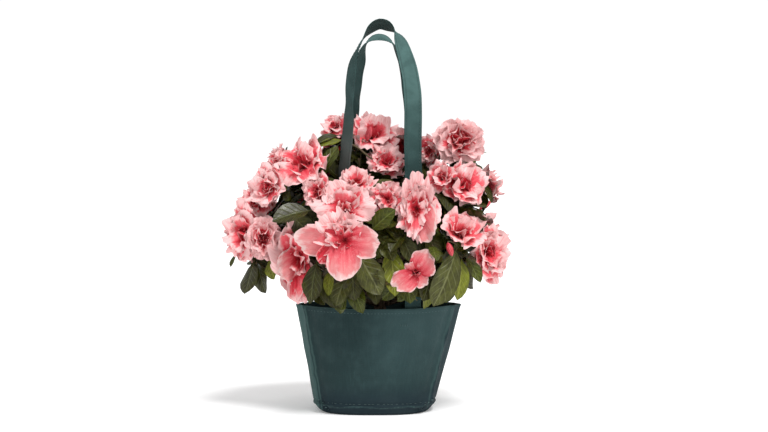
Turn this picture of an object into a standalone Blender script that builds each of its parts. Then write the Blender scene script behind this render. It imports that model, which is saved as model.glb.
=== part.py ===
"""A flowering pot azalea standing in a soft carrier bag with two upright strap handles.

The bag stands on its flat sole.  Inside it are a nursery pot and its soil, and a short stem that
forks into boughs.  Every bough ends at the stem of one mass of twigs, leaves and double blooms.
X is across the bag, -Y is its front, +Z is up, and the origin is the middle of the sole.
"""
import math
import random

import bmesh
import bpy
import numpy as np
from mathutils import Vector
from mathutils.bvhtree import BVHTree

MM = 0.001
GAP = 0.3 * MM                      # air kept between neighbours that touch in life

# Carrier bag: a lens at the rim, pinched at both sides, over a rounded oblong foot
BAG_HEIGHT = 105 * MM
BAG_WALL = 1.2 * MM
RIM_HALF_WIDTH = 82.5 * MM
RIM_HALF_DEPTH = 60 * MM
FOOT_HEIGHT = 8 * MM
FOOT_HALF_WIDTH = 61.5 * MM
FOOT_HALF_DEPTH = 51.5 * MM
SOLE_HALF_WIDTH = 53 * MM
SOLE_HALF_DEPTH = 46 * MM
FOOT_SHIFT = -4.5 * MM             # the filled bag slumps a little to one side
BAG_SEGMENTS = 36

# Strap handles: each is sewn inside its panel and stands up as a twisting loop
STRAP_WIDTH = 17.5 * MM
STRAP_THICKNESS = 1.4 * MM
STRAP_FOOT_DEPTH = 22 * MM          # length sewn below the rim
STRAP_FOOT_TURN = 64                # turn of its outer face there, along the curved panel
LEG_OUT = 33.5 * MM                 # where both legs are sewn, each side of the middle
LOOP_TOP_DEPTH = 22 * MM            # distance of each loop's top from the middle plane
RIGHT_SHOULDER = (290 * MM, 2.9)    # height where a leg begins to close, and roundness above
LEFT_SHOULDER = (250 * MM, 1.75)
HANDLES = {                         # side, height of the loop, spans of its right and left halves
    "handle_front": (-1, 385 * MM, 33.5 * MM, 33.5 * MM),
    "handle_rear": (1, 375 * MM, 34.5 * MM, 31 * MM),
}
LEG_SECTIONS = 8
LOOP_SECTIONS = 30

# Nursery pot and soil
POT_RIM_RADIUS = 54 * MM
POT_FOOT_RADIUS = 41 * MM
POT_HEIGHT = 92 * MM
POT_WALL = 1.5 * MM
POT_LIP = 1.6 * MM
POT_LIP_HEIGHT = 9 * MM
SOIL_DEPTH_BELOW_RIM = 8 * MM
SOIL_ROUND = 2 * MM                 # height over which its top rounds off to the pot's wall
SOIL_CROWN_RADII = (30 * MM, 15 * MM)
POT_SEGMENTS = 24

# Stem and boughs
STEM_FOOT_RADIUS = 10.5 * MM
STEM_NECK_RADIUS = 6.6 * MM
STEM_TIP_RADIUS = 3.4 * MM
STEM_TOP = 150 * MM
STEM_FLARE_HEIGHT = 5 * MM
STEM_SIDES = 12
BOUGH_BASE_RADIUS = 2.6 * MM
BOUGH_TIP_RADIUS = 1.7 * MM
BOUGH_SIDES = 6
BOUGH_REACH = 0.45                  # how far a bough goes towards the middle of its mass

# Twigs, leaves and blooms
CROWN_HEART = Vector((0, 0, 125 * MM))
TWIG_RADIUS = 1.35 * MM
TWIG_RINGS = 3
TWIG_TRIES = 60                     # ways tried to lead a twig past what is already there
LEAF_TRIES = 7
LEAF_LENGTH = (28 * MM, 40 * MM)
LEAF_SLIMNESS = 0.45                # width over length
LEAF_RIDGE = 0.045                  # thickness at the midrib over length
LEAF_LOWEST = 98 * MM               # no leaf hangs lower than this, into the bag
GOLDEN_ANGLE = math.radians(137.5)
LEAF_SUNK = 0.35 * MM               # how far past the twig's middle line a leaf is rooted
BLOOM_LOBES = 5
BLOOM_SEGMENTS = 15
LEAVES_BELOW_BLOOM = 5
LEAVES_ON_SHOOT = 6
FINEST_EDGE = 0.00015 * MM          # points nearer than this count as one
SEED = 11

# Forms of bloom: depth over half width, height of the inner ruffle, dimple, depth of the lobes
BLOOM_FORMS = {
    "double": (0.60, 0.20, 0.02, 0.14),
    "open": (0.55, 0.02, -0.16, 0.22),
    "trumpet": (1.10, 0.02, -0.25, 0.16),
}

# Masses round the crown, in millimetres.  level: height of the bough on the stem, None for the
# one that grows on from the stem's own tip.  steer: how far the bough's tip keeps aside of a
# strap.  blooms: place, width and height, facing (turn from the front towards +X, tilt above
# level) and form.  shoots: where a shoot without a bloom ends.
MASSES = {
    "front_left": {
        "level": 112,
        "blooms": [
            ((-34, -112, 172), (79, 66), (-4, 2), "open"),
            ((-33, -88, 206), (62, 56), (-8, 32), "double"),
            ((-21, -60, 228), (38, 36), (0, 45), "double"),
        ],
        "shoots": [(-18, -86, 124), (-46, -84, 128), (0, -86, 153), (7, -80, 181)],
    },
    "front_right": {
        "level": 120,
        "blooms": [
            ((38, -88, 207), (50, 60), (-6, 4), "open"),
            ((8, -72, 213), (36, 37), (-10, 10), "double"),
            ((38, -85, 143), (42, 34), (-15, -12), "open"),
        ],
        "shoots": [(30, -82, 172), (60, -76, 168), (20, -84, 126), (60, -72, 130)],
    },
    "low_left": {
        "level": 106,
        "blooms": [((-87, -55, 147), (33, 68), (-35, -12), "trumpet")],
        "shoots": [(-62, -78, 136), (-76, -60, 122), (-76, -60, 188)],
    },
    "left": {
        "level": 118,
        "blooms": [
            ((-127, -30, 176), (60, 60), (-32, 0), "double"),
            ((-122, -5, 205), (36, 32), (-75, 25), "double"),
        ],
        "shoots": [(-126, -22, 136), (-144, -8, 156), (-104, -8, 166)],
    },
    "upper_left": {
        "level": 129,
        "blooms": [
            ((-71, -40, 249), (57, 59), (-30, 42), "double"),
            ((-102, -35, 223), (46, 43), (-48, 12), "double"),
            ((-103, -18, 251), (28, 26), (-70, 30), "double"),
            ((-59, -55, 219), (31, 36), (-20, 5), "double"),
        ],
        "shoots": [(-56, -2, 262), (-86, 6, 238)],
    },
    "top_left": {
        "level": 138,
        "blooms": [
            ((-6, 2, 281), (46, 50), (28, 42), "double"),
            ((-47, 8, 284), (30, 29), (-60, 30), "double"),
        ],
        "shoots": [(-50, -4, 262), (-30, 18, 274), (-20, -20, 258)],
    },
    "top_centre": {
        "level": None,
        "blooms": [((7, -4, 248), (42, 37), (0, 20), "double")],
        "shoots": [(-16, -22, 242), (20, -16, 234), (22, 18, 262)],
    },
    "upper_right": {
        "level": 129,
        "blooms": [
            ((79, -6, 267), (56, 47), (8, 20), "double"),
            ((50, 2, 257), (28, 34), (-30, -5), "double"),
        ],
        "shoots": [(98, 2, 246), (62, 26, 262), (54, -14, 238)],
    },
    "right_front": {
        "level": 113,
        "blooms": [
            ((79, -45, 229), (58, 46), (20, 12), "double"),
            ((80, -66, 182), (44, 38), (-18, -10), "trumpet"),
        ],
        "shoots": [(96, -42, 202), (60, -52, 198), (74, -70, 150), (92, -58, 128)],
    },
    "right": {
        "level": 106,
        "blooms": [((113, -35, 157), (34, 58), (55, 0), "double")],
        "shoots": [(112, -18, 196), (118, -12, 132)],
    },
    "right_rear": {
        "level": 120,
        "blooms": [
            ((106, 50, 166), (54, 52), (112, 5), "double"),
            ((88, 40, 220), (54, 50), (118, 35), "double"),
            ((112, 8, 224), (36, 34), (88, 22), "double"),
        ],
        "shoots": [(122, 18, 168), (94, 60, 130)],
    },
    "rear_right": {
        "level": 112,
        "steer": -9,
        "blooms": [
            ((60, 98, 168), (60, 56), (150, 5), "double"),
            ((40, 86, 216), (52, 54), (158, 35), "open"),
            ((82, 80, 200), (36, 38), (132, 18), "double"),
        ],
        "shoots": [(50, 88, 128), (20, 100, 186)],
    },
    "rear_left": {
        "level": 106,
        "blooms": [
            ((-26, 112, 166), (62, 60), (192, 5), "double"),
            ((-20, 92, 218), (54, 48), (190, 38), "double"),
            ((16, 106, 152), (38, 40), (172, -8), "double"),
        ],
        "shoots": [(-14, 98, 126), (-56, 92, 140), (10, 90, 196)],
    },
    "left_rear": {
        "level": 112,
        "blooms": [
            ((-92, 72, 162), (58, 54), (232, 4), "double"),
            ((-70, 64, 218), (56, 54), (224, 36), "double"),
            ((-112, 32, 196), (42, 44), (252, 12), "double"),
        ],
        "shoots": [(-76, 76, 124), (-118, 34, 152), (-56, 90, 190)],
    },
    "rear_top": {
        "level": 129,
        "blooms": [
            ((26, 54, 260), (54, 50), (165, 58), "double"),
            ((-38, 50, 263), (46, 48), (205, 52), "double"),
        ],
        "shoots": [(-8, 66, 252), (60, 58, 244)],
    },
}


# ---------------------------------------------------------------- meshes and materials

def clear_scene():
    for thing in list(bpy.data.objects):
        bpy.data.objects.remove(thing, do_unlink=True)


def make_material(name, colour, roughness):
    material = bpy.data.materials.new(name)
    material.use_nodes = True
    shader = material.node_tree.nodes["Principled BSDF"]
    shader.inputs["Base Color"].default_value = (*colour, 1.0)
    shader.inputs["Roughness"].default_value = roughness
    shader.inputs["Metallic"].default_value = 0.0
    material.diffuse_color = (*colour, 1.0)
    return material


def make_object(name, points, faces, material, collection=None):
    mesh = bpy.data.meshes.new(name)
    mesh.from_pydata([tuple(point) for point in points], [], faces)
    mesh.update()
    thing = bpy.data.objects.new(name, mesh)
    thing.data.materials.append(material)
    (collection or bpy.context.scene.collection).objects.link(thing)
    return thing


def shade_round(thing, angle):
    thing.data.shade_smooth()
    thing.data.set_sharp_from_angle(angle=math.radians(angle))


def stacked_rings(rings):
    """Close a stack of rings, each a list of the same number of points, with flat caps."""
    count = len(rings[0])
    points = [point for ring in rings for point in ring]
    faces = []
    for level in range(len(rings) - 1):
        low = level * count
        for step in range(count):
            beside = (step + 1) % count
            faces.append((low + step, low + beside, low + count + beside, low + count + step))
    faces.append(tuple(reversed(range(count))))
    faces.append(tuple(range(len(points) - count, len(points))))
    return points, faces


def direction(turn, tilt):
    """Unit vector, turned in degrees from the front (-Y) towards +X, and tilted above level."""
    turn = math.radians(turn)
    tilt = math.radians(tilt)
    level = math.cos(tilt)
    return Vector((math.sin(turn) * level, -math.cos(turn) * level, math.sin(tilt)))


def square_pair(along):
    """Two unit vectors square to a direction and to each other."""
    helper = Vector((0, 0, 1)) if abs(along.z) < 0.85 else Vector((1, 0, 0))
    side = along.cross(helper).normalized()
    return side, along.cross(side)


def curve_points(start, leave, end, arrive, count):
    """A cubic from start, setting off along `leave`, to end, coming in along `arrive`."""
    reach = (end - start).length / 3
    first = start + leave * reach
    second = end - arrive * reach
    points = []
    for step in range(count):
        t = step / (count - 1)
        s = 1 - t
        points.append(start * s**3 + first * 3 * s * s * t + second * 3 * s * t * t + end * t**3)
    return points


def tube(path, radii, sides):
    """A closed round limb through the points of a path, with one radius at each."""
    rings = []
    side = None
    for index, centre in enumerate(path):
        before = path[max(index - 1, 0)]
        after = path[min(index + 1, len(path) - 1)]
        along = (after - before).normalized()
        if side is None:
            side = square_pair(along)[0]
        side = (side - along * side.dot(along)).normalized()
        lift = along.cross(side)
        ring = []
        for step in range(sides):
            angle = 2 * math.pi * step / sides
            ring.append(centre + (side * math.cos(angle) + lift * math.sin(angle)) * radii[index])
        rings.append(ring)
    return stacked_rings(rings)


# ---------------------------------------------------------------- bag, handles, pot, soil

def wall_powers(up):
    """Powers of the wall's outline, from an oblong at the foot (0) to a lens at the rim (1)."""
    return 0.72 + 0.28 * up, 0.80 + 0.86 * up


def bag_outline(height, inset):
    """Ring of the bag's wall at a height: an oblong at the foot, a pinched lens at the rim."""
    up = max(0.0, (height - FOOT_HEIGHT) / (BAG_HEIGHT - FOOT_HEIGHT))
    half_width = FOOT_HALF_WIDTH + (RIM_HALF_WIDTH - FOOT_HALF_WIDTH) * up
    half_depth = FOOT_HALF_DEPTH + (RIM_HALF_DEPTH - FOOT_HALF_DEPTH) * up
    if height < FOOT_HEIGHT:
        bend = math.sqrt(1 - (1 - height / FOOT_HEIGHT) ** 2)
        half_width = SOLE_HALF_WIDTH + (FOOT_HALF_WIDTH - SOLE_HALF_WIDTH) * bend
        half_depth = SOLE_HALF_DEPTH + (FOOT_HALF_DEPTH - SOLE_HALF_DEPTH) * bend
    across, deep = wall_powers(up)
    ring = []
    for step in range(BAG_SEGMENTS):
        angle = 2 * math.pi * step / BAG_SEGMENTS
        cosine = math.cos(angle)
        sine = math.sin(angle)
        x = math.copysign(abs(cosine) ** across, cosine) * (half_width - inset * 1.25)
        x += FOOT_SHIFT * (1 - up)
        y = math.copysign(abs(sine) ** deep, sine) * (half_depth - inset)
        ring.append(Vector((x, y, height)))
    return ring


def build_bag(material):
    outer = [0, 1.2 * MM, 4 * MM, FOOT_HEIGHT, 32 * MM, 57 * MM, 82 * MM, BAG_HEIGHT]
    inner = [BAG_HEIGHT, 82 * MM, 57 * MM, 32 * MM, FOOT_HEIGHT + 1 * MM, 4 * MM, BAG_WALL]
    rings = [bag_outline(height, 0) for height in outer]
    rings += [bag_outline(height, BAG_WALL) for height in inner]
    points, faces = stacked_rings(rings)
    bag = make_object("carrier_bag", points, faces, material)
    shade_round(bag, 35)
    return bag


def panel_depth(x, height):
    """Distance of the outer face of the front or rear panel from the middle plane, at x."""
    up = (height - FOOT_HEIGHT) / (BAG_HEIGHT - FOOT_HEIGHT)
    across, deep = wall_powers(up)
    half_width = FOOT_HALF_WIDTH + (RIM_HALF_WIDTH - FOOT_HALF_WIDTH) * up
    half_depth = FOOT_HALF_DEPTH + (RIM_HALF_DEPTH - FOOT_HALF_DEPTH) * up
    cosine = (abs(x - FOOT_SHIFT * (1 - up)) / half_width) ** (1 / across)
    return half_depth * math.sqrt(1 - cosine * cosine) ** deep


def strap_depth(height, loop_height):
    """How far a strap stands from the middle plane: on its panel, then leaning inwards."""
    level = min(height, BAG_HEIGHT)
    lean = math.cos(math.radians(90 - STRAP_FOOT_TURN))
    reach = STRAP_WIDTH / 2 * lean
    chord = min(panel_depth(leg - reach, level) + panel_depth(leg + reach, level)
                for leg in (-LEG_OUT, LEG_OUT))
    on_panel = chord / 2 - (BAG_WALL * 1.25 + STRAP_THICKNESS / 2) / lean - 2 * GAP
    if height <= BAG_HEIGHT:
        return on_panel
    climb = (height - BAG_HEIGHT) / (loop_height - BAG_HEIGHT)
    return on_panel + (LOOP_TOP_DEPTH - on_panel) * climb


def half_loop(span, loop_height, shoulder):
    """One leg and its half of the loop, from the foot to the top, as (distance out, height)."""
    spring, roundness = shoulder
    foot = BAG_HEIGHT - STRAP_FOOT_DEPTH
    points = []
    for step in range(20):
        climb = step / 20
        points.append((LEG_OUT + (span - LEG_OUT) * climb, foot + (spring - foot) * climb))
    for step in range(31):
        angle = math.pi / 2 * step / 30
        points.append((span * math.cos(angle),
                       spring + (loop_height - spring) * math.sin(angle) ** (2 / roundness)))
    return points


def strap_route(loop_height, right, left):
    """Middle line of a strap over its loop, as (x, height, share of the way)."""
    up = half_loop(right, loop_height, RIGHT_SHOULDER)
    down = half_loop(left, loop_height, LEFT_SHOULDER)
    rough = np.array(up + [(-out, height) for out, height in reversed(down[:-1])])
    length = np.concatenate([[0], np.cumsum(np.hypot(*np.diff(rough, axis=0).T))])
    leg = 0.30 * length[-1]
    stations = np.concatenate([
        np.linspace(0, leg, LEG_SECTIONS, endpoint=False),
        np.linspace(leg, length[-1] - leg, LOOP_SECTIONS, endpoint=False),
        np.linspace(length[-1] - leg, length[-1], LEG_SECTIONS + 1)])
    return [(float(np.interp(s, length, rough[:, 0])), float(np.interp(s, length, rough[:, 1])),
             float(s / length[-1])) for s in stations]


def strap_twist(share):
    """Turn of the strap's outer face, in degrees: 90 looks away from the bag, 0 out of the loop."""
    sewn = STRAP_FOOT_TURN
    stations = [0, 0.06, 0.15, 0.36, 0.425, 0.45, 0.47, 0.49, 0.52, 0.545, 0.58, 0.64, 0.88, 0.94, 1]
    turns = [sewn, sewn, 84, 84, 72, 45, 0, -38, -38, 0, 28, 36, 38, sewn, sewn]
    return float(np.interp(share, stations, turns))


def build_strap(name, material):
    """A flat strap that stands face on in its legs and twists over in its loop."""
    side, loop_height, right, left = HANDLES[name]
    route = strap_route(loop_height, right, left)
    middle = [Vector((x, side * strap_depth(z, loop_height), z)) for x, z, _ in route]
    rings = []
    for index, centre in enumerate(middle):
        before = middle[max(index - 1, 0)]
        after = middle[min(index + 1, len(middle) - 1)]
        along = (after - before).normalized()
        outwards = Vector((along.z, 0, -along.x)).normalized()
        away = along.cross(outwards).normalized()
        away = away if away.y * side > 0 else -away
        turn = math.radians(strap_twist(route[index][2]))
        normal = outwards * math.cos(turn) + away * math.sin(turn)
        width = normal.cross(along).normalized()
        half = normal * (STRAP_THICKNESS / 2)
        edge = width * (STRAP_WIDTH / 2)
        rings.append([centre - edge - half, centre + edge - half,
                      centre + edge + half, centre - edge + half])
    points, faces = stacked_rings(rings)
    return make_object(name, points, faces, material)


def turned_rings(profile, segments):
    """Rings of a profile of (radius, height) pairs turned round the Z axis."""
    rings = []
    for radius, height in profile:
        ring = []
        for step in range(segments):
            angle = 2 * math.pi * step / segments
            ring.append(Vector((radius * math.cos(angle), radius * math.sin(angle), height)))
        rings.append(ring)
    return rings


def pot_radius(height):
    return POT_FOOT_RADIUS + (POT_RIM_RADIUS - POT_LIP - POT_FOOT_RADIUS) * height / POT_HEIGHT


def build_pot(base, material):
    lip = POT_HEIGHT - POT_LIP_HEIGHT
    profile = [
        (pot_radius(0) - 1.5 * MM, base),
        (pot_radius(1.5 * MM), base + 1.5 * MM),
        (pot_radius(lip), base + lip),
        (pot_radius(lip) + POT_LIP, base + lip + 0.5 * MM),
        (POT_RIM_RADIUS, base + POT_HEIGHT),
        (POT_RIM_RADIUS - POT_WALL - 0.4 * MM, base + POT_HEIGHT),
        (pot_radius(lip) - POT_WALL, base + lip),
        (pot_radius(POT_WALL) - POT_WALL, base + POT_WALL),
    ]
    points, faces = stacked_rings(turned_rings(profile, POT_SEGMENTS))
    pot = make_object("nursery_pot", points, faces, material)
    shade_round(pot, 35)
    return pot


def build_soil(base, material):
    low = POT_WALL + GAP
    lip = POT_HEIGHT - POT_LIP_HEIGHT
    top = POT_HEIGHT - SOIL_DEPTH_BELOW_RIM
    edge = top - SOIL_ROUND
    slack = POT_WALL + 2 * GAP
    outer, inner = SOIL_CROWN_RADII
    profile = [
        (pot_radius(low) - slack, base + low),
        (pot_radius(lip) - slack, base + lip - 1 * MM),
        (pot_radius(edge) - slack - GAP, base + edge),
        (outer, base + top - SOIL_ROUND * 0.3),
        (inner, base + top),
    ]
    points, faces = stacked_rings(turned_rings(profile, POT_SEGMENTS))
    return make_object("potting_soil", points, faces, material)


# ---------------------------------------------------------------- stem and boughs

def stem_radius(height, foot):
    """Flared at the foot, then an even taper to the tip."""
    up = (height - foot) / (STEM_TOP - foot)
    flare = (STEM_FOOT_RADIUS - STEM_NECK_RADIUS) * math.exp(-(height - foot) / STEM_FLARE_HEIGHT)
    return STEM_NECK_RADIUS + (STEM_TIP_RADIUS - STEM_NECK_RADIUS) * up + flare


def stem_centre(height, foot):
    """The stem leans a little to one side and back again."""
    up = (height - foot) / (STEM_TOP - foot)
    return Vector((2.2 * MM * math.sin(2.6 * up), -1.6 * MM * math.sin(3.1 * up), height))


def build_stem(foot, material):
    heights = [foot, foot + 3 * MM, foot + 8 * MM, foot + 16 * MM, foot + 30 * MM,
               foot + 46 * MM, STEM_TOP]
    rings = []
    for height in heights:
        centre = stem_centre(height, foot)
        radius = stem_radius(height, foot)
        ring = []
        for step in range(STEM_SIDES):
            angle = 2 * math.pi * step / STEM_SIDES
            ring.append(centre + Vector((math.cos(angle), math.sin(angle), 0)) * radius)
        rings.append(ring)
    points, faces = stacked_rings(rings)
    stem = make_object("main_stem", points, faces, material)
    shade_round(stem, 40)
    return stem


def mass_middle(mass):
    """Mean place of what a mass carries, in metres."""
    places = [bloom[0] for bloom in mass["blooms"]] + mass["shoots"]
    return sum((Vector(place) for place in places), Vector()) * (MM / len(places))


def limb_route(mass, foot):
    """Points of a mass's bough, and the point and direction at which the mass takes over."""
    middle = mass_middle(mass)
    heading = (middle - CROWN_HEART).normalized()
    if mass["level"] is None:
        tip = stem_centre(STEM_TOP, foot)
        return None, tip + Vector((0, 0, GAP)), Vector((0, 0, 1))
    height = mass["level"] * MM
    outwards = Vector((heading.x, heading.y, 0)).normalized()
    start = stem_centre(height, foot) + outwards * (stem_radius(height - 3 * MM, foot) + GAP)
    tip = CROWN_HEART + (middle - CROWN_HEART) * BOUGH_REACH
    tip.x += mass.get("steer", 0) * MM
    arrive = (tip - start).normalized() * 0.6 + heading * 0.4
    arrive.normalize()
    path = [start] + curve_points(start + outwards * 2 * MM, outwards, tip, arrive, 5)
    last = (path[-1] - path[-2]).normalized()
    return path, path[-1] + last * GAP, last


# ---------------------------------------------------------------- leaves, twigs and blooms

def leaf_solid(root, along, face, length):
    """A pointed oval blade with a raised midrib; it bends away from its face as it runs out."""
    across = along.cross(face).normalized()
    face = across.cross(along).normalized()
    half = length * LEAF_SLIMNESS / 2
    droop = 0.16 * length

    def at(share, side, lift):
        return root + along * length * share + across * half * side + face * (
            lift - droop * share * share)

    points = [
        at(-LEAF_SUNK / length, 0, 0),
        at(0.30, -0.86, 0.05 * half), at(0.68, -0.84, 0.05 * half),
        at(1.0, 0, 0),
        at(0.68, 0.84, 0.05 * half), at(0.30, 0.86, 0.05 * half),
        at(0.42, 0, LEAF_RIDGE * length),
    ]
    faces = [(0, 1, 6), (1, 2, 6), (2, 3, 6), (3, 4, 6), (4, 5, 6), (5, 0, 6),
             (0, 5, 1), (1, 5, 4), (1, 4, 2), (2, 4, 3)]
    return points, [tuple(reversed(face)) for face in faces]


def bloom_solid(centre, facing, width, height, form, roll):
    """A ruffled dish on a cone: five lobes round the edge and a raised ruffle within."""
    depth, ruffle, dimple, lobe = BLOOM_FORMS[form]
    half = math.sqrt(width * height) / 2
    side, lift = square_pair(facing)
    side *= width / 2 / half
    lift *= height / 2 / half

    def at(radius, angle, forward):
        spoke = side * math.cos(angle) + lift * math.sin(angle)
        return centre + facing * forward + spoke * radius

    points = [at(0, 0, -depth * half)]
    for ring in ("back", "edge", "inner"):
        for step in range(BLOOM_SEGMENTS):
            angle = 2 * math.pi * step / BLOOM_SEGMENTS + roll
            third = step % (BLOOM_SEGMENTS // BLOOM_LOBES)
            reach = half * (1 - lobe if third == 0 else 1.0)
            wave = (0.10, -0.04, 0.08)[third] * half
            if ring == "back":
                points.append(at(reach * 0.52, angle, -0.42 * depth * half))
            elif ring == "edge":
                points.append(at(reach, angle, wave))
            else:
                points.append(at(reach * 0.56, angle, ruffle * half + 0.8 * wave))
    points.append(at(0, 0, dimple * half))

    count = BLOOM_SEGMENTS
    last = len(points) - 1
    faces = []
    for step in range(count):
        beside = (step + 1) % count
        faces.append((0, 1 + beside, 1 + step))
        for ring in range(2):
            low = 1 + ring * count
            faces.append((low + step, low + beside, low + count + beside))
            faces.append((low + step, low + count + beside, low + count + step))
        faces.append((1 + 2 * count + step, 1 + 2 * count + beside, last))
    return points, faces


class Room:
    """What is already in place, so that a new twig, leaf or bloom can be tried against it."""

    def __init__(self):
        self.trees = []
        self.lows = []
        self.highs = []
        self.owners = []

    def add(self, points, faces, owner):
        spots = np.array([tuple(point) for point in points])
        self.trees.append(BVHTree.FromPolygons([tuple(p) for p in points], faces))
        self.lows.append(spots.min(axis=0))
        self.highs.append(spots.max(axis=0))
        self.owners.append(owner)

    def is_free(self, points, faces, *kin):
        """True where the piece, swollen by the gap, touches nothing but what its kin own."""
        spots = np.array([tuple(point) for point in points])
        middle = spots.mean(axis=0)
        arms = spots - middle
        spread = np.linalg.norm(arms, axis=1, keepdims=True)
        spots = spots + arms / np.maximum(spread, 1e-6) * GAP * 1.6
        low = spots.min(axis=0) - GAP
        high = spots.max(axis=0) + GAP
        lows = np.array(self.lows)
        highs = np.array(self.highs)
        near = np.all(lows < high, axis=1) & np.all(highs > low, axis=1)
        tree = None
        for index in np.flatnonzero(near):
            if self.owners[index] in kin:
                continue
            if tree is None:
                tree = BVHTree.FromPolygons([tuple(p) for p in spots], faces)
            if tree.overlap(self.trees[index]):
                return False
        return True


def add_object_to_room(room, thing, owner, swell):
    """Limbs, straps and walls are entered a little swollen, so that foliage keeps off them."""
    mesh = bmesh.new()
    mesh.from_mesh(thing.data)
    mesh.normal_update()
    points = [vertex.co + vertex.normal * swell for vertex in mesh.verts]
    faces = [tuple(vertex.index for vertex in face.verts) for face in mesh.faces]
    mesh.free()
    room.add(points, faces, owner)


class Territory:
    """The space of each mass: all that lies nearer to its own blooms and shoots than to others'."""

    def __init__(self, masses, tips):
        spots = []
        owners = []
        for number, (name, mass) in enumerate(masses.items()):
            for place, size, _, _ in mass["blooms"]:
                spots.append([MM * value for value in place] + [min(size) * MM / 2])
                owners.append(number)
            for place in mass["shoots"]:
                spots.append([MM * value for value in place] + [14 * MM])
                owners.append(number)
            spots.append([*tips[name], 10 * MM])
            owners.append(number)
        self.spots = np.array(spots)
        self.owners = np.array(owners)

    def holds(self, points, number):
        at = np.array([tuple(point) for point in points])
        away = ((at[:, None, :] - self.spots[None, :, :3]) ** 2).sum(axis=2)
        power = away - self.spots[None, :, 3] ** 2
        nearest = self.owners[power.argmin(axis=1)]
        return bool((nearest == number).all())


def grow_shoot(start, leave, end, arrive, name, room, rng):
    """A three-sided twig from the mass's stem to a bloom or a shoot's end, bent round limbs."""
    for attempt in range(TWIG_TRIES):
        spread = 0.02 + 0.03 * attempt
        bend = Vector([rng.uniform(-spread, spread) for _ in range(3)])
        turn = Vector([rng.uniform(-spread, spread) for _ in range(3)])
        path = curve_points(start, (leave + bend).normalized(), end,
                            (arrive + turn).normalized(), TWIG_RINGS + 2 * attempt // TWIG_TRIES)
        radii = np.linspace(TWIG_RADIUS, TWIG_RADIUS * 0.8, len(path))
        points, faces = tube(path, radii, 3)
        if room.is_free(points, faces, name):
            return path, points, faces
    return None


def grow_mass_stem(start, leave, middle, name, room, rng):
    """The five-sided stem that carries a mass on from its bough, bent where a limb is in its way."""
    turn = start + leave * 2 * MM
    radii = np.linspace(BOUGH_TIP_RADIUS, TWIG_RADIUS, 4)
    for attempt in range(TWIG_TRIES):
        stray = Vector([rng.uniform(-0.4, 0.4) * attempt * MM for _ in range(3)])
        end = start + (middle - start) * 0.42 + stray
        path = [start] + curve_points(turn, leave, end, (end - turn).normalized(), 3)
        stem = tube(path, radii, 5)
        if room.is_free(*stem, name, "bough_" + name, "main_stem"):
            break
    return path, stem


def grow_leaves(path, count, tip_share, name, number, room, territory, rng, found):
    """A whorl round the upper part of a shoot, each leaf a golden angle on from the last."""
    turn = rng.uniform(0, 2 * math.pi)
    for index in range(count):
        turn += GOLDEN_ANGLE
        share = tip_share - (index / count) * 0.45
        spot = share * (len(path) - 1)
        low = min(int(spot), len(path) - 2)
        along = (path[low + 1] - path[low]).normalized()
        root = path[low].lerp(path[low + 1], spot - low)
        side, lift = square_pair(along)
        outwards = side * math.cos(turn) + lift * math.sin(turn)
        for attempt in range(LEAF_TRIES):
            tilt = math.radians(rng.uniform(8, 50))
            heading = (outwards * math.cos(tilt) + along * math.sin(tilt)
                       + Vector((0, 0, rng.uniform(-0.35, 0.1)))).normalized()
            face = ((root - CROWN_HEART).normalized() + along * 0.4
                    + Vector((0, 0, 0.4))).normalized()
            length = rng.uniform(*LEAF_LENGTH) * (1 - 0.06 * attempt)
            points, faces = leaf_solid(root, heading, face, length)
            if min(point.z for point in points) < LEAF_LOWEST:
                continue
            blade = [root.lerp(points[3], 0.12)] + points[1:]
            if (territory.holds(points[1:], number) and room.is_free(points, faces, name)
                    and room.is_free(blade, faces)):
                room.add(points, faces, name)
                found.append((points, faces, "leaf"))
                break
            outwards = (outwards + side * rng.uniform(-0.5, 0.5)
                        + lift * rng.uniform(-0.5, 0.5)).normalized()


def reserve_blooms(masses, room, rng):
    """Blooms are set first; one that would touch its neighbours is drawn smaller until it fits."""
    placed = {name: [] for name in masses}
    for name, mass in masses.items():
        for place, (width, height), facing, form in mass["blooms"]:
            centre = Vector(place) * MM
            heading = direction(*facing)
            roll = rng.uniform(0, 2 * math.pi)
            for attempt in range(9):
                share = MM * 0.94 ** attempt
                points, faces = bloom_solid(centre, heading, width * share, height * share,
                                            form, roll)
                if room.is_free(points, faces, name):
                    room.add(points, faces, name)
                    foot = centre.lerp(points[0], 0.75)
                    placed[name].append((foot, heading, points, faces))
                    break
    return placed


def keep_largest_body(shape):
    """Drop loose scraps and fill hollows that the union sealed off."""
    mesh = bmesh.new()
    mesh.from_mesh(shape)
    bmesh.ops.triangulate(mesh, faces=mesh.faces)
    unseen = set(mesh.verts)
    bodies = []
    while unseen:
        first = next(iter(unseen))
        body = {first}
        front = [first]
        while front:
            vertex = front.pop()
            for edge in vertex.link_edges:
                other = edge.other_vert(vertex)
                if other not in body:
                    body.add(other)
                    front.append(other)
        unseen -= body
        bodies.append(body)

    def spread(body):
        places = np.array([tuple(vertex.co) for vertex in body])
        return float(np.prod(places.max(axis=0) - places.min(axis=0)))

    bodies.sort(key=spread, reverse=True)
    for body in bodies[1:]:
        bmesh.ops.delete(mesh, geom=list(body), context="VERTS")
    mesh.to_mesh(shape)
    mesh.free()


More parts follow.
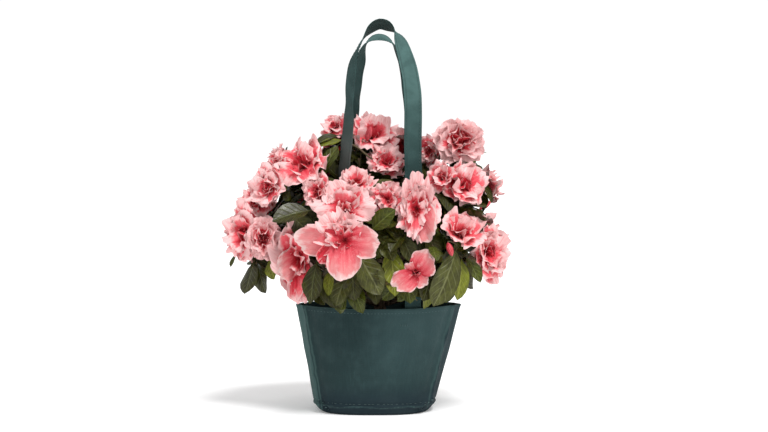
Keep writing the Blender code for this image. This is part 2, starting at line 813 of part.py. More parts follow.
def unite(name, base, parts, materials):
    """One Boolean union of a mass's stem and a collection of its twigs, leaves and blooms."""
    group = bpy.data.collections.new(name + "_pieces")
    bpy.context.scene.collection.children.link(group)
    whole = make_object(name, base[0], base[1], materials["twig"])
    pieces = [make_object(name + "_piece", points, faces, materials[kind], group)
              for points, faces, kind in parts]
    union = whole.modifiers.new("union", "BOOLEAN")
    union.material_mode = "TRANSFER"
    union.operation = "UNION"
    union.operand_type = "COLLECTION"
    union.collection = group
    union.solver = "MANIFOLD"
    bpy.context.view_layer.update()
    shape = bpy.data.meshes.new_from_object(whole.evaluated_get(
        bpy.context.evaluated_depsgraph_get()))
    whole.modifiers.clear()
    whole.data = shape
    for piece in pieces:
        bpy.data.objects.remove(piece, do_unlink=True)
    bpy.data.collections.remove(group)
    keep_largest_body(shape)
    return whole


def flawed_place(shape):
    """Where the surface touches itself along an edge, or None where it is sound."""
    mesh = bmesh.new()
    mesh.from_mesh(shape)
    bmesh.ops.remove_doubles(mesh, verts=mesh.verts, dist=FINEST_EDGE)
    flaws = [edge.verts[0].co.copy() for edge in mesh.edges if not edge.is_manifold]
    mesh.free()
    return flaws[0] if flaws else None


def fuse(name, base, parts, leaves, materials):
    """Join a mass, and leave out any leaf that doesn't join on cleanly."""
    leaves = list(leaves)
    while True:
        whole = unite(name, base, parts + leaves, materials)
        flaw = flawed_place(whole.data)
        if flaw is None:
            return whole, len(leaves)
        away = [BVHTree.FromPolygons([tuple(p) for p in points], faces).find_nearest(flaw)[3]
                for points, faces, _ in leaves]
        if min(away) > GAP:
            print("a twig or bloom of", name, "joins on badly")
            return whole, len(leaves)
        bpy.data.objects.remove(whole, do_unlink=True)
        del leaves[away.index(min(away))]


def build_mass(name, number, mass, start, leave, placed, room, territory, rng, materials):
    stem_path, stem = grow_mass_stem(start, leave, mass_middle(mass), name, room, rng)
    room.add(*stem, name)
    onwards = (stem_path[-1] - stem_path[-2]).normalized()
    fork = stem_path[-1] - onwards * 1 * MM
    parts = []
    shoots = []
    for root, heading, points, faces in placed[name]:
        onto = (onwards * 0.5 + (root - fork).normalized()).normalized()
        shoot = grow_shoot(fork, onto, root, heading, name, room, rng)
        if shoot is None:
            print("no way to a bloom in", name)
            continue
        room.add(shoot[1], shoot[2], name)
        parts += [(points, faces, "bloom"), (shoot[1], shoot[2], "twig")]
        shoots.append((shoot[0], LEAVES_BELOW_BLOOM, 0.80))
    for place in mass["shoots"]:
        target = Vector(place) * MM
        target = fork.lerp(target, 0.80)
        outwards = (target - CROWN_HEART).normalized()
        onto = (onwards * 0.5 + (target - fork).normalized()).normalized()
        shoot = grow_shoot(fork, onto, target, outwards, name, room, rng)
        if shoot is None:
            print("no way to a shoot in", name)
            continue
        room.add(shoot[1], shoot[2], name)
        parts.append((shoot[1], shoot[2], "twig"))
        shoots.append((shoot[0], LEAVES_ON_SHOOT, 0.97))
    leaves = []
    for path, count, tip_share in shoots:
        grow_leaves(path, count, tip_share, name, number, room, territory, rng, leaves)
    whole, kept = fuse(name + "_foliage", stem, parts, leaves, materials)
    print(name, "leaves", kept, "blooms", len(placed[name]),
          "triangles", len(whole.data.polygons))
    return kept


def main():
    clear_scene()
    rng = random.Random(SEED)
    cloth = make_material("bag cloth", (0.030, 0.075, 0.078), 0.85)
    webbing = make_material("strap cloth", (0.045, 0.105, 0.105), 0.8)
    plastic = make_material("pot plastic", (0.030, 0.030, 0.030), 0.5)
    earth = make_material("potting soil", (0.055, 0.033, 0.018), 0.95)
    bark = make_material("bark", (0.16, 0.095, 0.055), 0.85)
    foliage = {
        "twig": make_material("twig", (0.14, 0.10, 0.05), 0.8),
        "leaf": make_material("leaf", (0.045, 0.085, 0.030), 0.45),
        "bloom": make_material("bloom", (0.80, 0.26, 0.27), 0.6),
    }

    bag = build_bag(cloth)
    straps = [build_strap(name, webbing) for name in HANDLES]
    pot_base = BAG_WALL + GAP
    pot = build_pot(pot_base, plastic)
    soil = build_soil(pot_base, earth)
    soil_top = pot_base + POT_HEIGHT - SOIL_DEPTH_BELOW_RIM
    foot = soil_top + GAP
    stem = build_stem(foot, bark)

    room = Room()
    for thing in [bag, pot, soil, stem] + straps:
        add_object_to_room(room, thing, thing.name, GAP)
    starts = {}
    for name, mass in MASSES.items():
        path, start, leave = limb_route(mass, foot)
        starts[name] = (start, leave)
        if path is None:
            continue
        radii = np.linspace(BOUGH_BASE_RADIUS, BOUGH_TIP_RADIUS, len(path))
        points, faces = tube(path, radii, BOUGH_SIDES)
        bough = make_object("bough_" + name, points, faces, bark)
        shade_round(bough, 50)
        add_object_to_room(room, bough, bough.name, GAP)

    territory = Territory(MASSES, {name: start for name, (start, _) in starts.items()})
    placed = reserve_blooms(MASSES, room, rng)
    leaves = 0
    for number, (name, mass) in enumerate(MASSES.items()):
        start, leave = starts[name]
        leaves += build_mass(name, number, mass, start, leave, placed, room, territory, rng,
                             foliage)
    print("leaves in all", leaves)


main()
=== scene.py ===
import math

import bpy
import numpy as np
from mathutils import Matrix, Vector


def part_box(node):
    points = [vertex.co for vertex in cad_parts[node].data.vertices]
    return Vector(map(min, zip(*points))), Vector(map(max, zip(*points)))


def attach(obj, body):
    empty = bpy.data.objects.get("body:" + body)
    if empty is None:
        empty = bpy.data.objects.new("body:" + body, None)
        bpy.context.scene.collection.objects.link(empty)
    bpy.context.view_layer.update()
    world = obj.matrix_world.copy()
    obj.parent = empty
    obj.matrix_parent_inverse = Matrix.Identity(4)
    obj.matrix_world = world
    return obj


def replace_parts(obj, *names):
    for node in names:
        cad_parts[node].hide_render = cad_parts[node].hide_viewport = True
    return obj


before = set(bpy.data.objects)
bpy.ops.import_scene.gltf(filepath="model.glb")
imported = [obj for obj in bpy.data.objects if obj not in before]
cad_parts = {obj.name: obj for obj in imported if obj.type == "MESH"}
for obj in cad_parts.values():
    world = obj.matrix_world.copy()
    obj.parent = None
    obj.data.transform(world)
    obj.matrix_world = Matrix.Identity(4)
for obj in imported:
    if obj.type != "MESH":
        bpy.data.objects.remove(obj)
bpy.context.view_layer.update()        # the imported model, in metres, origin at the middle of the bag's sole
mm = 0.001
rng = np.random.default_rng(23)
print("frame loaded:", len(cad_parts), "nodes")


# Small tools for arrays of vectors

def unit(vectors):
    # each vector divided by its own length
    return vectors / np.maximum(np.linalg.norm(vectors, axis=-1, keepdims=True), 1e-12)


def ease(t):
    # 0 below 0, 1 above 1, and 3t^2 - 2t^3 between
    t = np.clip(t, 0, 1)
    return t * t * (3 - 2 * t)


def bump(distance, width):
    # a bell curve, 1 at no distance
    return np.exp(-(distance / width) ** 2)


def power(wave, exponent):
    # the wave's size raised to a power, with its sign kept
    return np.sign(wave) * np.abs(wave) ** exponent


def heading(turn, tilt):
    # turned in degrees from the front (-Y) towards +X, and tilted above level
    turn, tilt = math.radians(turn), math.radians(tilt)
    return np.array([math.sin(turn) * math.cos(tilt), -math.cos(turn) * math.cos(tilt), math.sin(tilt)])


def squarePair(along):
    # two unit vectors square to each direction and to each other
    along = np.asarray(along, float)
    helper = np.where(np.abs(along[..., 2:]) < 0.85, [0.0, 0, 1], [1.0, 0, 0])
    side = unit(np.cross(along, helper))
    return side, np.cross(along, side)


def cubicPath(start, leave, end, arrive, count):
    # a Bezier cubic whose handles are a third of the chord long, along `leave` and `arrive`
    reach = np.linalg.norm(end - start) / 3
    t = np.linspace(0, 1, count)[:, None]
    s = 1 - t
    first, second = start + leave * reach, end - arrive * reach
    return start * s**3 + first * 3 * s * s * t + second * 3 * s * t * t + end * t**3


def smoothPath(points, count):
    # through a few points: a Catmull-Rom spline, a b c d in turn, at even steps of its parameter
    padded = np.concatenate([[2 * points[0] - points[1]], points, [2 * points[-1] - points[-2]]])
    t = np.linspace(0, len(points) - 1 - 1e-6, count)
    k = t.astype(int)
    f = (t - k)[:, None]
    a, b, c, d = (padded[k + step] for step in range(4))
    return 0.5 * (2 * b + (c - a) * f + (2 * a - 5 * b + 4 * c - d) * f**2 + (3 * b - a - 3 * c + d) * f**3)


def gridFaces(sheets, rows, cols, wrapped=False):
    # quads of grids of rows x cols points, laid one after another; wrapped joins the last column to the first
    row, col = np.meshgrid(np.arange(rows - 1), np.arange(cols if wrapped else cols - 1), indexing="ij")
    beside = (col + 1) % cols
    low, high = row * cols, (row + 1) * cols
    quad = np.stack([low + col, low + beside, high + beside, high + col], axis=-1)
    return (quad.reshape(1, -1, 4) + np.arange(sheets)[:, None, None] * rows * cols).reshape(-1, 4)


def tubeFaces(tubes, rows, cols):
    # the quads of closed tubes and their two end faces, the first one turned to face outwards
    first = np.arange(cols)[::-1][None, :] + np.arange(tubes)[:, None] * rows * cols
    last = np.arange(cols)[None, :] + (np.arange(tubes)[:, None] * rows + rows - 1) * cols
    return [gridFaces(tubes, rows, cols, wrapped=True), np.concatenate([first, last])]


finished = []               # every new piece, with the record's material slot that it takes its finish from


def makePiece(name, points, faceSets, material, uv=None, finish=None):
    # a mesh from an array of points and arrays of faces; uv holds one pair for each point
    points = np.asarray(points, np.float32).reshape(-1, 3)
    corners = np.concatenate([faces.reshape(-1) for faces in faceSets]).astype(np.int32)
    sizes = np.concatenate([np.full(len(faces), faces.shape[1]) for faces in faceSets])
    starts = np.concatenate([[0], np.cumsum(sizes)[:-1]]).astype(np.int32)
    mesh = bpy.data.meshes.new(name)
    for part, count, title, values in ((mesh.vertices, len(points), "co", points.reshape(-1)),
                                       (mesh.loops, len(corners), "vertex_index", corners),
                                       (mesh.polygons, len(sizes), "loop_start", starts)):
        part.add(count)
        part.foreach_set(title, values)
    mesh.update(calc_edges=True)
    mesh.validate()
    if uv is not None:
        flat = np.asarray(uv, np.float32).reshape(-1, 2)[corners].reshape(-1)
        for title in ("sheetMap", "OFBake"):
            mesh.uv_layers.new(name=title).data.foreach_set("uv", flat)
    mesh.polygons.foreach_set("use_smooth", np.full(len(mesh.polygons), True))
    mesh.materials.append(material)
    piece = bpy.data.objects.new(name, mesh)
    bpy.context.scene.collection.objects.link(piece)
    if finish:
        finished.append((piece, finish))
    return piece


def tubeRings(paths, radii, sides):
    # circles square to each path: centre + radius * (cos * side + sin * lift)
    along = unit(np.gradient(paths, axis=1))
    helper = squarePair(unit(paths[:, -1] - paths[:, 0]))[0][:, None, :]
    side = unit(np.cross(along, helper))
    lift = np.cross(along, side)
    angle = np.linspace(0, 2 * math.pi, sides, endpoint=False)[:, None]
    ring = np.cos(angle) * side[:, :, None, :] + np.sin(angle) * lift[:, :, None, :]
    return paths[:, :, None, :] + ring * radii[:, :, None, None]


def joinTubes(name, paths, radii, sides, material, finish):
    # many round tubes of changing radius in one piece, closed at both ends; its map has u round and v along
    tubes, rows = paths.shape[:2]
    rings = tubeRings(paths, np.broadcast_to(radii, (tubes, rows)), sides)
    v, u = np.meshgrid(np.linspace(0, 1, rows), np.arange(sides) / sides, indexing="ij")
    uv = np.broadcast_to(np.stack([u, v], axis=-1), (tubes, rows, sides, 2))
    return makePiece(name, rings, tubeFaces(tubes, rows, sides), material, uv, finish)


# Wiring of materials, and the node groups that several of them share

class Wires:
    # adds nodes to a tree and joins them, so that a formula reads as one line
    def __init__(self, tree):
        self.tree = tree

    def put(self, kind, inputs=(), **settings):
        # a new node with its settings and its inputs, by name or number
        node = self.tree.nodes.new(kind)
        for title, value in settings.items():
            setattr(node, title, value)
        for key, value in dict(inputs).items():
            self.join(value, node.inputs[key])
        return node

    def join(self, value, socket):
        # a socket is linked, a plain value is set, and a colour gets its alpha
        if isinstance(value, bpy.types.NodeSocket):
            self.tree.links.new(value, socket)
        else:
            socket.default_value = (*value, 1.0) if socket.type == "RGBA" else value

    def maths(self, operation, first, *others):
        # one node for each further value in turn, or a single node where there is none
        for other in others or (0.0,):
            first = self.put("ShaderNodeMath", {0: first, 1: other}, operation=operation).outputs[0]
        return first

    def plus(self, *values):
        return self.maths("ADD", *values)

    def less(self, first, second):
        return self.maths("SUBTRACT", first, second)

    def times(self, *values):
        return self.maths("MULTIPLY", *values)

    def gap(self, first, second=0.0):
        # how far apart two values are
        return self.maths("ABSOLUTE", self.less(first, second))

    def swayed(self, value, noise, reach):
        # a value that a noise moves up and down
        return self.plus(value, self.times(self.less(noise, 0.5), reach))

    def vector(self, operation, first, second=(0, 0, 0), third=(0, 0, 0)):
        # one step of vector maths
        inputs = {0: first, 1: second, 2: third}
        return self.put("ShaderNodeVectorMath", inputs, operation=operation).outputs[0]

    def span(self, value, low, high, toLow=0.0, toHigh=1.0, kind="SMOOTHSTEP"):
        # a value carried from one range to another, and held at its ends
        inputs = {"Value": value, "From Min": low, "From Max": high, "To Min": toLow, "To Max": toHigh}
        return self.put("ShaderNodeMapRange", inputs, interpolation_type=kind).outputs[0]

    def mix(self, share, first, second, kind="MIX"):
        # the first colour at share 0, the second at share 1
        inputs = {0: share, 6: first, 7: second}
        return self.put("ShaderNodeMix", inputs, data_type="RGBA", blend_type=kind).outputs[2]

    def coats(self, colour, *coats):
        # each coat is (share, colour), laid over what is below it
        for share, coat in coats:
            colour = self.mix(share, colour, coat)
        return colour

    def dimmed(self, colour, share):
        # a colour times a share
        grey = self.put("ShaderNodeCombineColor", {0: share, 1: share, 2: share}).outputs[0]
        return self.mix(1.0, colour, grey, "MULTIPLY")

    def noise(self, vector, scale, detail=2.0, roughness=0.5):
        # scale is a number, or three that stretch the pattern
        if isinstance(scale, tuple):
            vector, scale = self.put("ShaderNodeMapping", {"Vector": vector, "Scale": scale}).outputs[0], 1.0
        inputs = {"Vector": vector, "Scale": scale, "Detail": detail, "Roughness": roughness}
        return self.put("ShaderNodeTexNoise", inputs).outputs["Fac"]

    def steps(self, value, stops):
        # a colour ramp; stops are (place, colour or grey)
        node = self.put("ShaderNodeValToRGB", {"Fac": value})
        while len(node.color_ramp.elements) < len(stops):
            node.color_ramp.elements.new(1.0)
        for element, (place, colour) in zip(node.color_ramp.elements, stops):
            element.position = place
            element.color = (*np.broadcast_to(colour, 3), 1.0)
        return node.outputs[0]

    def byRow(self, row, *values):
        # a value for each row of the sheet map
        return self.steps(row, [(number / (len(values) - 1), value) for number, value in enumerate(values)])

    def split(self, vector):
        # its x, y and z
        return self.put("ShaderNodeSeparateXYZ", {0: vector}).outputs

    def place(self):
        # where a point lies on the part, in metres
        return self.put("ShaderNodeTexCoord").outputs["Object"]

    def map(self):
        # where a point lies on its sheet, strap or tube
        return self.put("ShaderNodeUVMap", uv_map="sheetMap").outputs[0]

    def group(self, group, **inputs):
        # a shared node group with this material's own values
        node = self.put("ShaderNodeGroup", node_tree=group)
        for title, value in inputs.items():
            self.join(value, node.inputs[title])
        return node.outputs


def newMaterial(name, roughness, specular=0.5, sheen=0.0):
    # a Principled material with its own plain values; returns it with its inputs and wires
    material = bpy.data.materials.new(name)
    material.use_nodes = True
    inputs = material.node_tree.nodes["Principled BSDF"].inputs
    inputs["Roughness"].default_value = roughness
    inputs["Specular IOR Level"].default_value = specular
    if sheen:
        inputs["Sheen Weight"].default_value, inputs["Sheen Roughness"].default_value = sheen, 0.4
    return material, inputs, Wires(material.node_tree)


def bumpOn(wires, inputs, height, strength, distance):
    # relief from a height, on the material's normal
    height = wires.put("ShaderNodeBump", {"Height": height, "Strength": strength, "Distance": distance})
    wires.join(height.outputs[0], inputs["Normal"])


def newGroup(name, inputs, outputs):
    # inputs are (name, kind of socket), outputs a name for each kind
    group = bpy.data.node_groups.new(name, "ShaderNodeTree")
    for inOut, sockets in (("INPUT", inputs), ("OUTPUT", outputs)):
        for title, kind in sockets.items():
            group.interface.new_socket(name=title, in_out=inOut, socket_type="NodeSocket" + kind)
    enter, leave = group.nodes.new("NodeGroupInput"), group.nodes.new("NodeGroupOutput")
    return group, enter.outputs, leave.inputs, Wires(group)


sheetMap = {"cells": 4, "margin": 0.02}    # cells each way, and what is left free round each as a share


def buildSheetCells():
    # splits the sheet map into its cells: place across and along the cell, its row as a share, and a place
    # that differs from cell to cell
    group, enter, leave, w = newGroup("sheetCells", {"Map": "Vector"}, {
        "Across": "Float", "Along": "Float", "Row": "Float", "Local": "Vector"})
    count, low, high = sheetMap["cells"], sheetMap["margin"], 1 - sheetMap["margin"]
    scaled = w.vector("MULTIPLY", enter["Map"], (count, count, 0))
    cell, local = w.vector("FLOOR", scaled), w.vector("FRACTION", scaled)
    across, along, _ = w.split(local)
    w.join(w.span(across, low, high, -1.0, 1.0, "LINEAR"), leave["Across"])
    w.join(w.span(along, low, high, 0.0, 1.0, "LINEAR"), leave["Along"])
    w.join(w.maths("DIVIDE", w.split(cell)[1], count - 1.0), leave["Row"])
    w.join(w.vector("MULTIPLY_ADD", cell, (7.3, 3.1, 0), local), leave["Local"])
    return group


def buildClothWeave():
    # non-woven cloth: rows of small bonded dots pressed into it, fine upright streaks and a slow mottling
    group, enter, leave, w = newGroup("clothWeave", {
        "Place": "Vector", "Cloth": "Color", "Worn": "Color", "Dots": "Float"}, {
        "Color": "Color", "Height": "Float", "Roughness": "Float"})
    place = enter["Place"]
    scaled = w.put("ShaderNodeVectorMath", {0: place, "Scale": enter["Dots"]}, operation="SCALE").outputs[0]
    stretched = w.vector("MULTIPLY", scaled, (1.0, 1.0, 0.6))
    dots = w.put("ShaderNodeTexVoronoi", {"Vector": stretched, "Scale": 1.0, "Randomness": 0.25})
    pressed = w.span(dots.outputs["Distance"], 0.18, 0.45)
    streak = w.noise(place, (900.0, 900.0, 54.0), 3.0, 0.6)
    mottle = w.noise(place, 55.0, 4.0, 0.55)
    worn = w.plus(w.times(w.span(streak, 0.45, 0.8), 0.35), w.times(w.span(mottle, 0.42, 0.75), 0.4))
    colour = w.mix(worn, enter["Cloth"], enter["Worn"])
    w.join(w.dimmed(colour, w.span(pressed, 0.0, 1.0, 0.86, 1.0, "LINEAR")), leave["Color"])
    w.join(w.plus(w.times(pressed, 0.6), w.times(streak, 0.5)), leave["Height"])
    w.join(w.span(mottle, 0.3, 0.7, 0.92, 0.78), leave["Roughness"])
    return group


sheetCells = buildSheetCells()
clothWeave = buildClothWeave()
print("node groups made")


# Camera, light and floor

view = {
    "from": (0.00525, -1.750, 0.262),
    "at": (0.00525, 0.0, 0.1932),
    "filmWidth": 36.0,
    "fieldWidth": 0.768,             # what the picture's width covers at the distance aimed at, in metres
    "distance": 1.7514,
}
studio = {
    "dome": 0.70,                    # white light from all round
    "backdrop": 1.05,                # what the camera sees beyond the floor
    "key": {"turn": 28, "tilt": 59, "spread": 20, "strength": 2.5},
    "floorHalf": 60.0,
    "floorColour": (0.95, 0.95, 0.95),
    "floorGlow": 0.15,               # thins the shadow out to white, as on a lit table
}


def addAimed(name, data, place, target):
    # a camera or lamp that looks at a point
    thing = bpy.data.objects.new(name, data)
    bpy.context.scene.collection.objects.link(thing)
    thing.location = place
    thing.rotation_euler = (Vector(target) - Vector(place)).to_track_quat("-Z", "Y").to_euler()
    return thing


def setCamera(plan):
    # focal length = film width * distance / what the picture covers
    lens = bpy.data.cameras.new("mainCamera")
    lens.sensor_width = plan["filmWidth"]
    lens.lens = plan["filmWidth"] * plan["distance"] / plan["fieldWidth"]
    bpy.context.scene.camera = addAimed("mainCamera", lens, plan["from"], plan["at"])


def setStudio(plan):
    # an even dome, brighter where the camera sees it, one soft key and a wide floor
    world = bpy.data.worlds.new("studioDome")
    bpy.context.scene.world = world
    world.use_nodes = True
    w = Wires(world.node_tree)
    inputs = world.node_tree.nodes["Background"].inputs
    w.join((1.0, 1.0, 1.0), inputs["Color"])
    seen = w.put("ShaderNodeLightPath").outputs["Is Camera Ray"]
    w.join(w.span(seen, 0.0, 1.0, plan["dome"], plan["backdrop"], "LINEAR"), inputs["Strength"])
    lamp = bpy.data.lights.new("key", "SUN")
    lamp.energy = plan["key"]["strength"]
    lamp.angle = math.radians(plan["key"]["spread"])
    addAimed("key", lamp, heading(plan["key"]["turn"], plan["key"]["tilt"]) * 2, (0, 0, 0))
    material, inputs, w = newMaterial("studioFloor", 0.9)
    w.join(plan["floorColour"], inputs["Base Color"])
    w.join((1.0, 1.0, 1.0), inputs["Emission Color"])
    w.join(plan["floorGlow"], inputs["Emission Strength"])
    corners = np.array([[-1, -1, 0], [1, -1, 0], [1, 1, 0], [-1, 1, 0]]) * plan["floorHalf"]
    floor = makePiece("studioFloor", corners, [np.array([[0, 1, 2, 3]])], material)
    bpy.context.scene.view_settings.view_transform = "Standard"


setCamera(view)
setStudio(studio)
print("camera, lights and floor set")


# Carrier bag

bag = {
    "height": 105 * mm, "wall": 1.2 * mm,
    "rim": (82.5 * mm, 60 * mm), "foot": (61.5 * mm, 51.5 * mm), "sole": (53 * mm, 46 * mm),
    "footHeight": 8 * mm, "footShift": -4.5 * mm,
    "widePower": (0.72, 0.28), "deepPower": (0.80, 0.86),    # at the foot, and what the rim has more
    "around": 216, "outerRows": 62, "innerRows": 26,
    "hem": 4.3 * mm,                 # height of the stitched hem
    "seam": 8.2 * mm,                # height of the seam round the foot
    "fold": 8.5 * mm,                # distance of the side folds from the sides
    "specular": 0.22,
    # paler is painted light on the bag: to the right and higher up
    "cloth": (0.0155, 0.0355, 0.037), "worn": (0.028, 0.062, 0.063), "paler": (0.058, 0.112, 0.116),
    "paintedLight": (0.072, 0.138, 0.130), "paintedShade": (0.008, 0.018, 0.026),    # painted light on the left gusset and highlights, painted shade on the right gusset and foot
}
# Rows of stitches: places across the bag and heights in millimetres, how proud they stand, how long and thick
# they are, and the two tones of their thread
slant = np.linspace(0, 1, 6)
footPlaces = np.arange(-60, 52, 4.6)
stitching = {
    "hemStitches": {
        "thread": "hemThread", "x": np.arange(-76, 77, 3.3), "z": (bag["height"] - bag["hem"]) / mm,
        "proud": 0.05, "long": 2.4, "thick": 0.30, "tones": ((0.04, 0.085, 0.085), (0.085, 0.15, 0.145))},
    "footStitches": {
        "thread": "footThread", "x": footPlaces + 0.9 * np.sin(footPlaces * 1.7), "z": 11.4,
        "proud": 0.1, "long": 2.6, "thick": 0.26, "tones": ((0.018, 0.042, 0.043), (0.038, 0.078, 0.079))},
    "cornerStitches": {
        "thread": "cornerThread", "x": np.concatenate([-62 + 12 * slant, 43 + 11 * slant]),
        "z": np.concatenate([15 - 11 * slant, 4 + 11 * slant]),
        "proud": 0.3, "long": 2.3, "thick": 0.32, "tones": ((0.05, 0.10, 0.10), (0.11, 0.19, 0.18))},
    "strapTacks": {
        "thread": "tackThread", "x": np.arange(21.4, 29, 2.2), "z": 89, "upright": True,
        "proud": 0.05, "long": 1.9, "thick": 0.24, "tones": ((0.03, 0.07, 0.07), (0.09, 0.15, 0.15))},
}


def bagHalves(z):
    # half width, half depth and share of the height: straight from foot to rim, drawn in to the sole below
    up = np.clip((z - bag["footHeight"]) / (bag["height"] - bag["footHeight"]), 0, 1)
    bend = np.clip(z / bag["footHeight"], 0, 1) ** 0.8
    halves = [np.where(z < bag["footHeight"], sole + (foot - sole) * bend, foot + (rim - foot) * up)
              for sole, foot, rim in zip(bag["sole"], bag["foot"], bag["rim"])]
    return halves[0], halves[1], up


def bagPowers(up):
    # from an oblong at the foot to a lens at the rim
    return [foot + more * up for foot, more in (bag["widePower"], bag["deepPower"])]


def bagWall(angle, z, inset):
    # x = |cos|^p * half width and y = |sin|^q * half depth, with the bag's powers p and q
    halfWidth, halfDepth, up = bagHalves(z)
    wide, deep = bagPowers(up)
    x = power(np.cos(angle), wide) * (halfWidth - inset * 1.25)
    y = power(np.sin(angle), deep) * (halfDepth - inset)
    return np.stack([x + bag["footShift"] * (1 - up), y, z + 0 * x], axis=-1)


def bagRelief(points):
    # how far the cloth stands proud: side folds, hem, seam round the foot, gathered corners and slow creases
    x, y, z = points[..., 0], points[..., 1], points[..., 2]
    halfWidth, _, up = bagHalves(z)
    x = x - bag["footShift"] * (1 - up)
    wander = 0.8 * mm * np.sin(z / (14 * mm) + np.sign(x)) + 0.4 * mm * np.sin(z / (5.3 * mm))
    inwards = halfWidth - bag["fold"] * (0.75 + 0.25 * up) - np.abs(x) + wander    # from the side fold
    relief = 1.5 * mm * bump(inwards, 1.3 * mm) - 1.5 * mm * bump(inwards - 5 * mm, 3.2 * mm)
    relief -= 1.0 * mm * bump(inwards + 4.5 * mm, 2.6 * mm)
    relief *= ease(z / (12 * mm)) * (0.5 + 0.5 * np.sin(np.pi * np.clip(up, 0, 1)) ** 0.5)
    fromHem = z - bag["height"] + bag["hem"]
    relief += 0.35 * mm * (ease(fromHem / (0.6 * mm)) - bump(fromHem, 0.5 * mm))
    fromSeam = z - bag["seam"] - 0.5 * mm * np.sin(x / (9 * mm)) - 0.3 * mm * np.sin(x / (3.1 * mm))
    relief += 0.55 * mm * bump(fromSeam, 0.9 * mm) - 0.8 * mm * bump(fromSeam - 2.4 * mm, 1.3 * mm)
    relief -= 0.5 * mm * bump(fromSeam + 2.4 * mm, 1.2 * mm)
    cornerX, cornerY = np.abs(x) - 0.88 * bag["foot"][0], np.abs(y) - 0.70 * bag["foot"][1]
    away = np.sqrt(cornerX**2 + cornerY**2 + (z - 7 * mm) ** 2)    # from the gathered corner
    spoke = np.arctan2(z - 1 * mm, cornerX + 0.6 * cornerY + 10 * mm)
    gather = np.sin(spoke * 13 + np.sign(x) * 1.3) + 0.5 * np.sin(spoke * 29 + x / (2 * mm))
    relief += 2.1 * mm * bump(away, 12 * mm) * gather
    slow = np.sin(x / (17 * mm) + 1.7 + z / (60 * mm)) * np.sin(z / (31 * mm) + 0.6)
    slow = slow + 0.6 * np.sin(x / (8.5 * mm) - z / (38 * mm) + np.sign(y))
    relief += 0.6 * mm * slow * ease(z / (20 * mm)) * (1 - 0.55 * bump(np.abs(x) - halfWidth, 8 * mm))
    small = np.sin(x / (4.1 * mm) + 2.2 * np.sin(z / (19 * mm))) * np.sin(z / (12 * mm) + x / (15 * mm))
    relief += 0.16 * mm * small * ease((z - 10 * mm) / (15 * mm))
    fromStrap = np.abs(np.abs(x) - 33 * mm)    # the panel bulges a little over each strap's foot
    return relief + 0.5 * mm * bump(fromStrap, 6 * mm) * ease((z - 70 * mm) / (25 * mm))


def outOf(x, y, z):
    # the level direction square to an oval as wide and deep as the bag at that height
    halfWidth, halfDepth, _ = bagHalves(z)
    return unit(np.stack([x / halfWidth**2, y / halfDepth**2, 0 * x], axis=-1))


def bagMaterial():
    # the weave, with painted light: paler to the right and up, on the left gusset and as highlights along the
    # folds, rim and seam; and painted shade: darker on the right gusset and towards the foot
    material, inputs, w = newMaterial("bagCloth", 0.86, bag["specular"])
    place = w.place()
    cloth = w.group(clothWeave, Place=place, Cloth=bag["cloth"], Worn=bag["worn"], Dots=900.0)
    x, _, z = w.split(place)
    wander = w.span(w.noise(place, 60.0), 0.3, 0.7, -1.2 * mm, 1.2 * mm, "LINEAR")
    up = w.span(z, bag["footHeight"], bag["height"], kind="LINEAR")
    shifted = w.less(x, w.span(up, 0.0, 1.0, bag["footShift"], 0.0, "LINEAR"))
    halfWidth = w.span(up, 0.0, 1.0, bag["foot"][0], bag["rim"][0], "LINEAR")
    inwards = w.plus(w.less(halfWidth, w.gap(shifted)), wander)
    beyond = w.span(inwards, bag["fold"] - 0.4 * mm, bag["fold"] - 2.2 * mm)
    toRight = w.span(shifted, -10 * mm, 10 * mm)
    ridge = w.span(w.gap(inwards, bag["fold"] + 0.6 * mm), 0.2 * mm, 1.7 * mm, 1.0, 0.0)
    seam = w.span(w.gap(w.plus(z, wander), bag["seam"]), 0.3 * mm, 1.3 * mm, 1.0, 0.0)
    rim = w.span(z, bag["height"] - 1.4 * mm, bag["height"] - 0.2 * mm)
    seamPatches = w.span(w.noise(place, 300.0, 4.0, 0.7), 0.45, 0.75)
    # painted light: paler to the right and higher up
    paler = w.times(w.span(shifted, -25 * mm, 30 * mm), w.span(up, 0.05, 0.85), 0.46)
    # painted highlights along the fold ridges, weaker on the right, along the rim, and in patches along the
    # seam
    light = w.maths("MAXIMUM", w.times(ridge, w.span(toRight, 0.0, 1.0, 0.45, 0.22)), w.times(rim, 0.4),
                    w.times(seam, w.plus(w.times(seamPatches, 0.45), 0.12)))
    # painted shade towards the foot and on the right gusset; painted light on the left gusset and the
    # highlights
    colour = w.coats(
        cloth["Color"], (paler, bag["paler"]), (w.span(up, 0.0, 0.30, 0.78, 0.0), bag["paintedShade"]),
        (w.times(beyond, w.less(1.0, toRight), 0.58), bag["paintedLight"]),
        (w.times(beyond, toRight, 0.55), bag["paintedShade"]), (light, bag["paintedLight"]))
    w.join(colour, inputs["Base Color"])
    w.join(cloth["Roughness"], inputs["Roughness"])
    bumpOn(w, inputs, cloth["Height"], 0.45, 0.0005)
    return material


def makeBag():
    # one closed shell: up the outside, over the rolled rim and down the inside
    outer = bag["height"] * np.linspace(0, 1, bag["outerRows"]) ** 1.15
    inner = np.linspace(bag["height"], bag["wall"], bag["innerRows"])
    heights = np.concatenate([outer, [bag["height"] + 0.35 * mm], inner])[:, None]
    insets = np.concatenate([0 * outer, [0.5 * bag["wall"]], 0 * inner + bag["wall"]])[:, None]
    angle = np.linspace(0, 2 * math.pi, bag["around"], endpoint=False)
    rings = bagWall(angle[None, :], heights, insets)
    out = outOf(rings[..., 0], rings[..., 1], heights)
    rings = rings + out * (bagRelief(rings) * ease(heights / (3 * mm)))[..., None]
    return makePiece("bagShell", rings, tubeFaces(1, *rings.shape[:2]), bagMaterial(), finish="bag_cloth")


